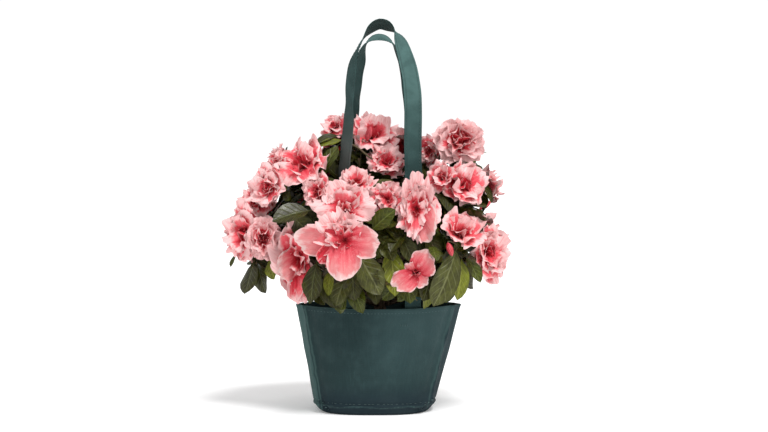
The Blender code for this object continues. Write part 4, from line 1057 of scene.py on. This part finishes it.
petalSheet = {
    "rows": 9, "cols": 25, "baseWidth": 0.24, "widest": 0.66, "tipWidth": 0.84,
    "tipDrop": 0.27,                 # how far the corners of the tip lie back, over the petal's width
    "opened": 0.50,                  # share of its length over which a petal bends to its opening
    "tubeAngle": 10,                 # degrees between a petal's foot and the bloom's axis
    "turned": (4, 8, 9),             # spread of turn, opening and curl, in degrees
    "scaled": (0.05, 0.09, 0.25, 0.22),    # spread of length, width, pleats and frill, as shares
    "widened": 1.08,                 # widths are multiplied by it
    "throat": (0.30, 0.003, 0.009), "deep": (0.58, 0.018, 0.038), "coral": (0.76, 0.100, 0.125),
    "light": (0.80, 0.232, 0.242), "edge": (0.88, 0.555, 0.55), "pale": (0.86, 0.380, 0.390),
    "plainTint": (0.86, 1.0, 0.97),  # what plain petals are multiplied by
}


def chanceFor(count):
    # gives a chance value between two bounds for each of a number of sheets
    return lambda low, high: rng.uniform(low, high, (count, 1, 1))


def bloomAxes(face):
    # to the right and up, as seen by someone whom the bloom faces
    side = unit(np.cross([0.0, 0, 1], face))
    return side, np.cross(face, side)


def petalRows(form):
    # one row for each petal of a bloom, with a little chance in each value
    rows = [[first + 360 * step / count + rng.normal(0, 9), *rest]
            for count, first, *rest in forms[form]["whorls"] for step in range(count)]
    table = np.array(rows + [list(row) for row in forms[form].get("petals", [])], float)
    chance = rng.normal(0, 1, table.shape)
    table[:, 4] *= petalSheet["widened"]
    table[:, :3] += chance[:, :3] * petalSheet["turned"]
    table[:, 3:7] *= 1 + np.clip(chance[:, 3:7], -2, 2) * petalSheet["scaled"]
    return table


def petalSheets(table, centre, face, size):
    # Each petal is a sheet over u across and v along. Its middle line leaves the tube near the axis and bends
    # out to its opening; its half width grows to the widest place and narrows a little to a round tip; pleats
    # are waves of u that grow from foot to edge; the frill is a finer wave of the angle round the petal's
    # middle, at the edge only.
    turn, opening, curl, length, width, pleat, frill, _ = (table[:, k, None, None] for k in range(8))
    count, rows, cols = len(table), petalSheet["rows"], petalSheet["cols"]
    v = np.linspace(0, 1, rows)[None, :, None]
    u = np.linspace(-1, 1, cols)[None, None, :]
    draw = chanceFor(count)
    # the middle line
    start = np.radians(petalSheet["tubeAngle"])
    angle = start + (np.radians(opening) - start) * ease(v / petalSheet["opened"])
    angle = angle + np.radians(curl) * ease((v - 0.45) / 0.55) * v
    middle = (angle[:, 1:] + angle[:, :-1]) / 2
    still = np.zeros((count, 1, 1))
    outwards, forwards = (np.concatenate([still, np.cumsum(wave(middle) / (rows - 1), axis=1)], axis=1)
                          for wave in (np.sin, np.cos))
    # the half width
    widest = petalSheet["widest"]
    opened = np.sin(np.pi / 2 * np.clip(v / widest, 0, 1)) ** 1.5
    half = width / 2 * (petalSheet["baseWidth"] + (1 - petalSheet["baseWidth"]) * opened)
    half = half * (1 - (1 - petalSheet["tipWidth"]) * np.clip((v - widest) / (1 - widest), 0, 1) ** 2)
    # the frayed edge
    swing = np.arctan2(u * width / 2, (v - 0.38) * length + 0.001)
    jag = 0.8 * np.sin(swing * draw(4, 7) + draw(0, 6)) + 0.6 * np.sin(swing * draw(9, 13) + draw(0, 6))
    teeth = np.clip(rng.normal(0, 0.9, (count, 1, cols + 2)), -1.4, 1.4)
    teeth = (teeth[..., :-2] + 1.6 * teeth[..., 1:-1] + teeth[..., 2:]) / 3.6 * v**6
    fray = np.repeat(rng.normal(0, 0.35, (count, rows, 2)), [cols // 2, cols - cols // 2], axis=2)
    fray = fray * np.abs(u) ** 9
    rim = np.maximum(v**5, np.abs(u) ** 6 * ease((v - 0.15) / 0.4))
    corner = petalSheet["tipDrop"] * width / length * np.abs(u) ** 2.3 * v**2
    notch = draw(-0.02, 0.07) * bump(u, 0.18) * v**6
    slip = v * (1 - corner - notch + frill * (0.5 * jag + 1.1 * teeth) * v**4) - v
    alongOut, alongForward = outwards + np.sin(angle) * slip, forwards + np.cos(angle) * slip
    across = u * half * (1 + frill * (0.5 * jag + fray) * v) + draw(-0.10, 0.10) * length * v**2
    # what stands up from the sheet: pleats, frill, a bowl across it and a twist
    waves = sum(share * np.sin(u * draw(low, high) + draw(0, 6.3))
                for share, low, high in ((0.80, 1.6, 3.0), (0.45, 3.4, 5.0), (0.14, 6.5, 9.0)))
    raised = pleat * waves * ease((v - 0.10) / 0.85) * (0.45 + 0.75 * v) + 1.8 * frill * jag * rim
    raised = raised + draw(0.02, 0.16) * width * u**2 * ease(v / 0.5) * (1 - 0.6 * v)
    raised = raised + draw(-0.12, 0.12) * u * width * v
    # turned about the bloom's axis, and fitted to the bloom's width and height
    radial = length * alongOut - raised * np.cos(angle)
    axial = length * alongForward + raised * np.sin(angle)
    cosine, sine = np.cos(np.radians(turn)), np.sin(np.radians(turn))
    x, y = radial * cosine - across * sine, radial * sine + across * cosine
    outer = (length[:, 0, 0] * outwards[:, -1, 0]).argmax()
    reach, front = (float((length * line)[outer, -1, 0]) for line in (outwards, forwards))
    wide, high = size / 2 / reach * 1.05
    side, lift = bloomAxes(face)
    deep = (axial - front) * math.sqrt(wide * high)
    return centre + side * (x * wide)[..., None] + lift * (y * high)[..., None] + face * deep[..., None]


def cellMap(kinds, rows, cols):
    # each sheet's own cell of the sheet map: its kind is the row, and the column is dealt by chance
    count, low, high = sheetMap["cells"], sheetMap["margin"], 1 - sheetMap["margin"]
    v, u = np.meshgrid(np.linspace(low, high, rows), np.linspace(low, high, cols), indexing="ij")
    column = rng.integers(0, count, len(kinds))[:, None, None]
    return np.stack([column + u, np.asarray(kinds)[:, None, None] + v], axis=-1) / count


def petalMaterial():
    # from the throat out deep red, coral and pink, further along some streaks; a pale margin that wanders
    material, inputs, w = newMaterial("petalSheet", 0.6, specular=0.25, sheen=0.10)
    deep, edge = petalSheet["deep"], petalSheet["edge"]
    cell = w.group(sheetCells, Map=w.map())
    across, along, local = w.gap(cell["Across"]), cell["Along"], cell["Local"]
    vein, fleck = w.noise(local, (26.0, 1.8, 1.0), 3.0, 0.65), w.noise(local, (30.0, 24.0, 1.0), 3.0, 0.7)
    streak, cloud = w.noise(local, (9.0, 1.1, 1.0)), w.noise(local, (4.5, 4.5, 1.0), 4.0, 0.6)
    row = cell["Row"]
    place = w.times(along, w.byRow(row, 1.26, 0.90, 1.02, 0.36))
    place = w.swayed(w.swayed(place, streak, -0.80), cloud, -0.30)
    body = w.steps(place, [(0.12, petalSheet["throat"]), (0.38, deep), (0.66, petalSheet["coral"]),
                           (0.98, petalSheet["light"])])
    clouded = w.times(w.span(cloud, 0.50, 0.72), w.span(row, 0.7, 1.0, 0.55, 0.10))
    heart = w.span(w.swayed(along, vein, -0.30), 0.14, 0.38, 0.85, 0.0)
    outer = w.maths("MAXIMUM", w.times(across, w.span(along, 0.15, 0.55)), along)
    outer = w.swayed(w.swayed(outer, vein, 0.45), cloud, 0.45)
    inner = w.less(1.0, w.byRow(row, 0.09, 0.17, 0.31, -0.14))
    margin = w.span(outer, w.less(inner, 0.09), w.plus(inner, 0.07))
    veined, flecked = w.span(vein, 0.50, 0.70, 0.0, 0.42), w.span(fleck, 0.56, 0.72, 0.0, 0.30)
    colour = w.coats(body, (clouded, petalSheet["pale"]), (heart, deep), (margin, edge), (veined, deep),
                     (flecked, edge))
    plain = w.span(row, 0.0, 0.3, 1.0, 0.0)
    w.join(w.mix(plain, colour, petalSheet["plainTint"], "MULTIPLY"), inputs["Base Color"])
    bumpOn(w, inputs, w.plus(vein, w.times(fleck, 0.5)), 0.35, 0.0006)
    return material


# Leaves that stand where they are seen most: foot and tip in millimetres, width over length, and tint (the
# row of the leaves' sheet map: 0 dark, 1 a greyer green that is partly a painted sheen, 2 mid green, 3
# yellow-green)
chosenLeaves = [
    ((-123, -20, 149), (-132, -34, 120), 0.78, 0), ((-120, -18, 149), (-115, -30, 121), 0.66, 0),
    ((-137, -10, 162), (-148, -22, 146), 0.34, 2), ((-108, -30, 152), (-103, -40, 134), 0.70, 3),
    ((-33, -10, 270), (-60, -22, 262), 0.42, 3), ((-37, -4, 274), (-68, -14, 268), 0.36, 0),
    ((101, -2, 233), (113, -10, 208), 0.36, 0), ((99, 0, 231), (103, -8, 205), 0.42, 1),
    ((83, -6, 246), (103, -16, 243), 0.62, 0), ((-26, -70, 134), (-18, -84, 106), 0.52, 2),
    ((-21, -84, 163), (3, -97, 126), 0.54, 1), ((-28, -78, 146), (-42, -92, 116), 0.56, 1),
    ((-45, -84, 145), (-50, -96, 123), 0.40, 3), ((12, -74, 168), (15, -92, 124), 0.44, 3),
    ((22, -74, 178), (33, -82, 152), 0.56, 1), ((75, -77, 167), (61, -96, 113), 0.44, 1),
    ((80, -66, 155), (79, -80, 118), 0.42, 3), ((-7, -82, 183), (14, -93, 203), 0.60, 2),
    ((-65, -66, 201), (-100, -82, 198), 0.60, 0), ((-58, -84, 153), (-69, -96, 119), 0.54, 0),
    ((46, -66, 180), (60, -76, 156), 0.58, 1), ((38, -66, 176), (42, -76, 152), 0.56, 1),
    ((55, -74, 152), (43, -88, 118), 0.50, 0), ((24, -74, 152), (30, -88, 116), 0.50, 2),
    ((-6, -72, 140), (-2, -86, 115), 0.52, 0), ((-25, -80, 152), (-25, -94, 120), 0.54, 0),
    ((-84, -48, 196), (-66, -70, 178), 0.60, 0), ((84, -56, 158), (98, -66, 134), 0.50, 2),
    ((-30, 6, 262), (-38, -8, 236), 0.50, 0), ((-52, -30, 172), (-68, -37, 198), 0.62, 0),
    ((-38, -8, 228), (-54, -15, 250), 0.60, 0), ((-36, 58, 124), (-40, 73, 87), 0.68, 0),
    ((-14, 60, 126), (-17, 75, 87), 0.70, 1), ((8, 60, 126), (6, 75, 87), 0.70, 0),
    ((28, 58, 126), (28, 74, 87), 0.70, 2), ((46, 56, 124), (50, 70, 89), 0.66, 0),
    ((16, -6, 232), (28, -12, 250), 0.66, 0), ((-24, 8, 252), (2, 4, 269), 0.52, 0),
    ((-22, 2, 256), (-29, 0, 284), 0.46, 0), ((-18, -2, 250), (-27, -6, 228), 0.54, 2),
    ((-14, 0, 246), (-33, -6, 262), 0.50, 0),
]
# Closed buds as (foot, tip) in millimetres, and how thick a bud and a calyx are from foot to tip
buds = [
    ((66, -32, 207), (70, -36, 221)), ((66, -84, 171), (70, -90, 159)), ((-128, -8, 196), (-139, -12, 206)),
    ((-12, -10, 268), (-8, -16, 282)), ((104, 58, 198), (116, 62, 206)), ((-58, 92, 192), (-66, 104, 200)),
    ((4, 84, 236), (2, 98, 246)), ((-102, 52, 214), (-114, 58, 224)), ((-54, 6, 230), (-46, 4, 241)),
    ((86, -34, 150), (95, -36, 161)), ((18, 10, 228), (25, 8, 239)), ((-62, 2, 234), (-57, 0, 246)),
]
budRadii = np.array([0.8, 1.9, 2.8, 3.2, 3.3, 3.0, 2.5, 1.6, 0.3]) * mm
calyxRadii = np.array([0.7, 0.9, 1.3, 1.9, 2.5, 2.8, 2.8, 2.4, 1.6]) * mm
crownTwig = {"foot": (-30, -15, 265), "leave": (1.0, -0.2, -0.1),
             "tip": (-6, -22, 250), "arrive": (1.0, 0.2, -0.6)}
stations = 9                         # points along every stem, shoot, twig, bud and calyx


def placedRows(places):
    # as leafRows, from feet and tips; each faces outwards, square to its own length
    middles = np.array([massMiddle(mass) for mass in masses.values()])
    rows = []
    for foot, tip, slim, *_ in places:
        foot, tip = np.array(foot) * mm, np.array(tip) * mm
        goal = tip - foot
        face = unit(unit(foot - crownHeart) + [0, -0.6, 0.25])
        nearest = np.linalg.norm(middles - tip, axis=1).argmin()
        rows.append((nearest, *foot, *unit(goal), *face, np.linalg.norm(goal) * 1.03, slim))
    return np.array(rows)


def stalksTo(rows, paths):
    # a thin side twig from the nearest shoot to the foot of each chosen leaf
    joints = np.concatenate([path[2:] for _, _, path in paths])
    along = np.concatenate([unit(np.gradient(path, axis=0))[2:] for _, _, path in paths])
    found = []
    for row in rows:
        foot = row[1:4]
        nearest = np.linalg.norm(joints - foot, axis=1).argmin()
        leave = unit(along[nearest] + unit(foot - joints[nearest]))
        found.append((int(row[0]), 2, cubicPath(joints[nearest], leave, foot, row[4:7], stations)))
    return found


def partWay(path, share):
    # the point at a share of a path, and the path's direction there
    spot = share * (stations - 1)
    low = min(int(spot), stations - 2)
    step = path[low + 1] - path[low]
    return path[low] + step * (spot - low), unit(step)


def awayFrom(along, spin):
    # the direction square to a path at an angle round it
    side, lift = squarePair(along)
    return side * math.cos(spin) + lift * math.sin(spin)


def growShoots():
    # the stem of each mass, its shoots, and side twigs a golden angle apart
    stems, shoots, sides, bloomRows = [], [], [], []
    for number, (name, mass) in enumerate(masses.items()):
        _, start, leave = routes[name]
        turn = start + leave * 2 * mm
        end = start + (massMiddle(mass) - start) * growth["toMiddle"]
        stem = np.concatenate([[start], cubicPath(turn, leave, end, unit(end - turn), 3)])
        onwards = unit(stem[-1] - stem[-2])
        fork = stem[-1] - onwards * growth["fork"]
        stems.append(smoothPath(stem, stations))
        ends = []
        for place, size, facing, form in mass["blooms"]:
            place, size, face = np.array(place) * mm, np.array(size) * mm, heading(*facing)
            foot = place - face * forms[form]["depth"] * math.sqrt(size[0] * size[1]) / 2 * 0.75
            bloomRows.append((number, place, size, face, form, foot))
            ends.append((foot, face, 1))
        for place in mass["shoots"]:
            foot = fork + (np.array(place) * mm - fork) * growth["ends"]
            ends.append((foot, unit(foot - crownHeart), 0))
        for foot, arrive, flowers in ends:
            path = cubicPath(fork, unit(onwards * 0.5 + unit(foot - fork)), foot, arrive, stations)
            shoots.append((number, flowers, path))
            spin = rng.uniform(0, 2 * math.pi)
            for step in range(growth["sideTwigs"]):
                share = 0.40 + 0.52 * (step + rng.uniform(0, 0.8)) / growth["sideTwigs"]
                root, along = partWay(path, share)
                spin += goldenAngle
                away = awayFrom(along, spin)
                lean = math.radians(rng.uniform(30, 60))
                goal = unit(away * math.sin(lean) + along * math.cos(lean) + [0, 0, rng.uniform(-0.1, 0.35)])
                tip = root + goal * rng.uniform(*growth["sideLength"]) * (0.8 if flowers else 1.0)
                twig = cubicPath(root, unit(along + away), tip, unit(goal + [0, 0, 0.3]), stations)
                sides.append((number, 2, twig))
    return stems, shoots, sides, bloomRows


def leafRows(paths):
    # whorls of leaves round the upper part of every shoot and side twig, each a golden angle on from the
    # last; a row is mass, root, goal, face, length and slimness, and beside it goes the number of its twig
    rows, bearers = [], []
    for bearer, (number, kind, path) in enumerate(paths):
        count = growth["leavesOn"][kind]
        top = 0.82 if kind == 1 else 0.98    # bare below a bloom
        spin = rng.uniform(0, 2 * math.pi)
        for index in range(count):
            spin += goldenAngle
            root, along = partWay(path, top - index / count * (0.45 if kind < 2 else 0.6))
            tilt = math.radians(rng.uniform(10, 55))
            goal = awayFrom(along, spin) * math.cos(tilt) + along * math.sin(tilt)
            goal = unit(goal + [0, 0, rng.uniform(-0.40, 0.12)])
            face = unit(unit(root - crownHeart) + along * 0.4 + [0, 0, 0.45] + rng.normal(0, 0.15, 3))
            length = rng.uniform(*growth["leafLength"]) * (0.72 + 0.28 * min(1, (index + 2) / 4))
            rows.append((number, *root, *goal, *face, length, rng.uniform(*growth["leafSlimness"])))
            bearers.append(bearer)
    return np.array(rows), np.array(bearers)


leafSheet = {
    "rows": 9, "cols": 7, "stalk": 0.07,
    # tints by row of the sheet map: the dark and the light of the blade, and its ribs; row 1 is partly a
    # painted sheen
    "dark": ((0.018, 0.016, 0.001), (0.034, 0.034, 0.006), (0.030, 0.035, 0.002), (0.090, 0.100, 0.009)),
    "base": ((0.038, 0.039, 0.003), (0.070, 0.075, 0.014), (0.066, 0.080, 0.005), (0.165, 0.185, 0.015)),
    "pale": ((0.095, 0.105, 0.032), (0.170, 0.178, 0.070), (0.160, 0.190, 0.045), (0.300, 0.315, 0.060)),
    "shares": (0.46, 0.22, 0.26, 0.06),    # how often each tint is dealt
}


def leafSheets(rows):
    # an oval blade on a short stalk: half width = sin(pi v)^0.65, a fold along the midrib, and a droop as v^2
    root, goal, face = (rows[:, None, None, k:k + 3] for k in (1, 4, 7))
    length, slim = rows[:, 10, None, None], rows[:, 11, None, None]
    across = unit(np.cross(goal, face))
    face = unit(np.cross(across, goal))
    v = np.linspace(0, 1, leafSheet["rows"])
    v = (0.45 * v + 0.55 * (0.5 - 0.5 * np.cos(np.pi * v)))[None, :, None]
    u = np.linspace(-1, 1, leafSheet["cols"])[None, None, :]
    draw = chanceFor(len(rows))
    blade = np.clip((v - leafSheet["stalk"]) / (1 - leafSheet["stalk"]), 0, 1)
    half = length * slim / 2 * (np.sin(np.pi * blade ** draw(0.95, 1.25)) ** 0.65 + 0.03)
    fold = half * np.abs(u) * draw(0.10, 0.55) - draw(0.0, 0.22) * half * u**2
    wave = draw(0.0, 0.05) * length * np.sin(v * draw(7, 12) + draw(0, 6)) * u * np.abs(u)
    quilt = 0.010 * length * np.sin((v * 9 - np.abs(u) * 1.2) * 2 * np.pi) * (1 - np.abs(u)) * np.abs(u) * 2
    raised = fold + wave + quilt - draw(0.06, 0.26) * length * v**2
    bend = draw(-0.10, 0.10) * length * v**2
    onwards = length * v * (1 + 0 * u)
    return root + goal * onwards[..., None] + across * (half * u + bend)[..., None] + face * raised[..., None]


def leafMaterial():
    # dark and light by clouds, a pale midrib and side ribs that slant forwards, tinted by row of the map
    material, inputs, w = newMaterial("leafSheet", 0.42, specular=0.27)
    cell = w.group(sheetCells, Map=w.map())
    across, along, local = w.gap(cell["Across"]), cell["Along"], cell["Local"]
    rib = w.span(across, 0.02, 0.10, 1.0, 0.0)
    comb = w.maths("FRACT", w.less(w.times(along, 8.0), w.times(across, 1.9)))
    ribs = w.times(w.span(w.gap(comb, 0.5), 0.36, 0.48), w.span(across, 0.75, 0.95, 1.0, 0.0))
    cloud, grain = w.noise(local, (5.0, 6.0, 1.0), 4.0, 0.6), w.noise(local, (40.0, 60.0, 1.0), 2.0, 0.6)
    dark, base, pale = (w.byRow(cell["Row"], *leafSheet[tone]) for tone in ("dark", "base", "pale"))
    colour = w.coats(dark, (w.span(cloud, 0.35, 0.65), base), (w.times(ribs, 0.35), pale),
                     (w.times(rib, 0.65), pale), (w.span(grain, 0.5, 0.8, 0.0, 0.2), pale))
    w.join(colour, inputs["Base Color"])
    w.join(w.span(cloud, 0.3, 0.7, 0.44, 0.26), inputs["Roughness"])
    bumpOn(w, inputs, w.less(w.times(grain, 0.3), w.plus(ribs, rib)), 0.5, 0.0006)
    return material


# Where leaves may grow: above an underside that rises with distance from the middle, and clear of a gap over
# the bag's rim, where its inside shows, of a bare spot near the top, and of blooms, straps, bag and pot
skirt = {
    "lowest": 101 * mm, "from": 70 * mm, "rise": 0.62, "left": -150 * mm, "right": 122 * mm,
    "gap": (-16 * mm, 42 * mm), "overGap": 114 * mm, "bare": (47 * mm, 283 * mm), "bareReach": 11 * mm,
    "overBlooms": 0.36, "beyond": 5 * mm,    # how far leaves go over their mass's blooms and past its box
    "inBloom": (-0.35, 1.9, 0.94),   # a bloom's back, front and side, in shares of its half size
    "beforeFixed": (0.5 * mm, 40 * mm, 0.36),    # the space before a chosen leaf: near, far and half width
    "offStrap": (5.5 * mm, 1 * mm, 2.5 * mm), "offRim": (0.80, 1.12), "overRim": 2 * mm, "bagTop": 96 * mm,
}


def leavesApart(rows, sheets, bloomRows, fixed):
    # keep the leaves that stay out of the blooms, straps, bag and pot, above the crown's rising underside,
    # within their mass's reach, off each other and out from before the first `fixed` rows, which all stay
    points = sheets.reshape(len(sheets), -1, 3)
    x, y, z = (points[..., k] for k in range(3))
    underside = skirt["lowest"] + skirt["rise"] * np.maximum(0, np.hypot(x, 0.8 * y) - skirt["from"])
    keep = ((z > underside) & (x > skirt["left"]) & (x < skirt["right"])).all(axis=1)
    inGap = (x > skirt["gap"][0]) & (x < skirt["gap"][1]) & (y < 0) & (z < skirt["overGap"])
    inBare = np.hypot(x - skirt["bare"][0], z - skirt["bare"][1]) <= skirt["bareReach"]
    lens = (np.abs(x) / bag["rim"][0]) ** 1.5 + (np.abs(y) / bag["rim"][1]) ** 1.5
    onRim = (z < bag["height"] + skirt["overRim"]) & (lens > skirt["offRim"][0]) & (lens < skirt["offRim"][1])
    inBag = (z < skirt["bagTop"]) & (lens < skirt["offRim"][1])
    keep &= ~(inGap | inBare | onRim | inBag).any(axis=1)
    for _, centre, size, face, _, _ in bloomRows:
        back, front, around = np.array(skirt["inBloom"]) * size.min() / 2
        away = points - centre
        forward = away @ face
        out = np.linalg.norm(away - forward[..., None] * face, axis=-1)
        keep &= ~((forward > back) & (forward < front) & (out < around)).any(axis=1)
    for handle in handles.values():
        centres, *axes, _ = strapFrame(handle)
        bounds = np.array(skirt["offStrap"]) + [0, strap["width"] / 2, 0]
        for centre, *directions in list(zip(centres, axes[0], axes[2], axes[1]))[::2]:
            away = np.abs((points - centre) @ np.array(directions).T)
            keep &= ~(away < bounds).all(axis=-1).any(axis=1)
    for number, (name, mass) in enumerate(masses.items()):
        low, high = (np.array(corner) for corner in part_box(name + "_foliage"))
        tops = [place[2] + skirt["overBlooms"] * size[1] for place, size, *_ in mass["blooms"]]
        high[2] = max(tops) * mm - skirt["beyond"]
        over = ((points < low - skirt["beyond"]) | (points > high + skirt["beyond"])).any(axis=(1, 2))
        keep &= ~(over & (rows[:, 0] == number))
    middles = points.mean(axis=1)
    back, front, around = skirt["beforeFixed"]
    for row, middle in zip(rows[:fixed], middles[:fixed]):
        away = middles - middle
        forward = away @ row[7:10]
        aside = np.linalg.norm(away - forward[:, None] * row[7:10], axis=1)
        keep &= ~((forward > back) & (forward < front) & (aside < around * row[10]))
    chosen = list(range(fixed))
    for index in fixed + np.flatnonzero(keep[fixed:]):
        gaps = np.linalg.norm(middles[chosen] - middles[index], axis=1)
        if gaps[:fixed].min() >= growth["aroundFixed"] and gaps.min() > growth["crowding"]:
            chosen.append(index)
    return np.array(chosen)


def budMaterial():
    # deep pink, darker in streaks from foot to tip
    material, inputs, w = newMaterial("closedBud", 0.5)
    streak = w.noise(w.map(), (26.0, 2.0, 1.0), 3.0, 0.6)
    w.join(w.mix(w.span(streak, 0.35, 0.65), petalSheet["throat"], petalSheet["coral"]), inputs["Base Color"])
    bumpOn(w, inputs, streak, 0.5, 0.0006)
    return material


def twigMaterial():
    # brown with green in spots that are drawn out along the twig
    material, inputs, w = newMaterial("twigSkin", 0.7)
    spots = w.noise(w.map(), (3.0, 18.0, 1.0), 3.0)
    w.join(w.mix(w.span(spots, 0.4, 0.7), growth["twigColour"], growth["twigGreen"]), inputs["Base Color"])
    return material


def makeTwigs(name, paths, radii, sides, material):
    # radii from foot to tip: one for each station, or the first and last of an even taper
    radii = radii if len(radii) == stations else np.linspace(*radii, stations)
    return joinTubes(name, np.array(paths), radii, sides, material, "flowering_foliage")


stems, shoots, sides, bloomRows = growShoots()
fixedRows = placedRows(chosenLeaves)
budRows = placedRows([(*bud, 0.4) for bud in buds])
stalks = stalksTo(np.concatenate([fixedRows, budRows]), shoots + sides)
rows, bearers = leafRows(shoots + sides)
rows = np.concatenate([fixedRows, rows])
bearers = np.concatenate([np.full(len(fixedRows), -1), bearers])
leaves = leafSheets(rows)
chosen = leavesApart(rows, leaves, bloomRows, len(fixedRows))
rows, leaves, bearers = rows[chosen], leaves[chosen], bearers[chosen]
leafKinds = rng.choice(4, len(rows), p=leafSheet["shares"])
leafKinds[:len(chosenLeaves)] = [tint for *_, tint in chosenLeaves]
sides = [twig for number, twig in enumerate(sides, len(shoots)) if number in bearers]    # no bare twigs

twigSkin = twigMaterial()
makeTwigs("massStems", stems, growth["stemRadii"], 8, twigSkin)
twig = cubicPath(np.array(crownTwig["foot"]) * mm, unit(np.array(crownTwig["leave"])),
                 np.array(crownTwig["tip"]) * mm, unit(np.array(crownTwig["arrive"])), stations)
shootPiece = makeTwigs("shoots", [path for _, _, path in shoots] + [twig], growth["shootRadii"], 6, twigSkin)
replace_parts(shootPiece, *[name + "_foliage" for name in masses])
makeTwigs("sideTwigs", [path for _, _, path in sides + stalks], growth["sideRadii"], 5, twigSkin)
budFeet, budTips = budRows[:, 1:4], budRows[:, 1:4] + budRows[:, 4:7] * budRows[:, 10:11]
makeTwigs("closedBuds", np.linspace(budFeet, budTips, stations, axis=1), budRadii, 10, budMaterial())
feet, faces = (np.array([row[index] for row in bloomRows]) for index in (5, 3))
calyxLines = np.linspace(feet - faces * 6 * mm, feet + faces * 0.5 * mm, stations, axis=1)
makeTwigs("calyces", calyxLines, calyxRadii, 10, twigSkin)
print("twigs:", len(shoots), "shoots and", len(sides + stalks), "side twigs")

quarters = {"front": range(0, 7), "right": range(7, 12), "rear": range(12, 15)}    # masses in each piece
rng = np.random.default_rng(34)
petals, kinds, owners = [], [], []
for number, centre, size, face, form, _ in bloomRows:
    table = petalRows(form)
    petals.append(petalSheets(table, centre, face, size))
    kinds.append(table[:, 7].round().astype(int))
    owners.append(np.full(len(table), number))
petals, kinds, owners = (np.concatenate(part) for part in (petals, kinds, owners))
petalCells = cellMap(kinds, petalSheet["rows"], petalSheet["cols"])
leafCells = cellMap(leafKinds, leafSheet["rows"], leafSheet["cols"])
petalColours, leafColours = petalMaterial(), leafMaterial()
for quarter, numbers in quarters.items():
    for kind, plan, sheets, cells, massOf, colours, turn in (
            ("petals_", petalSheet, petals, petalCells, owners, petalColours, -1),
            ("leaves_", leafSheet, leaves, leafCells, rows[:, 0], leafColours, 1)):
        mine = np.isin(massOf, numbers)
        faces = gridFaces(mine.sum(), plan["rows"], plan["cols"])[:, ::turn]
        makePiece(kind + quarter, sheets[mine], [faces], colours, cells[mine], "flowering_foliage")
print("petals:", len(petals), "leaves:", len(rows))


for piece, finish in finished:
    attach(piece, "root")
print(len(finished), "pieces finished")
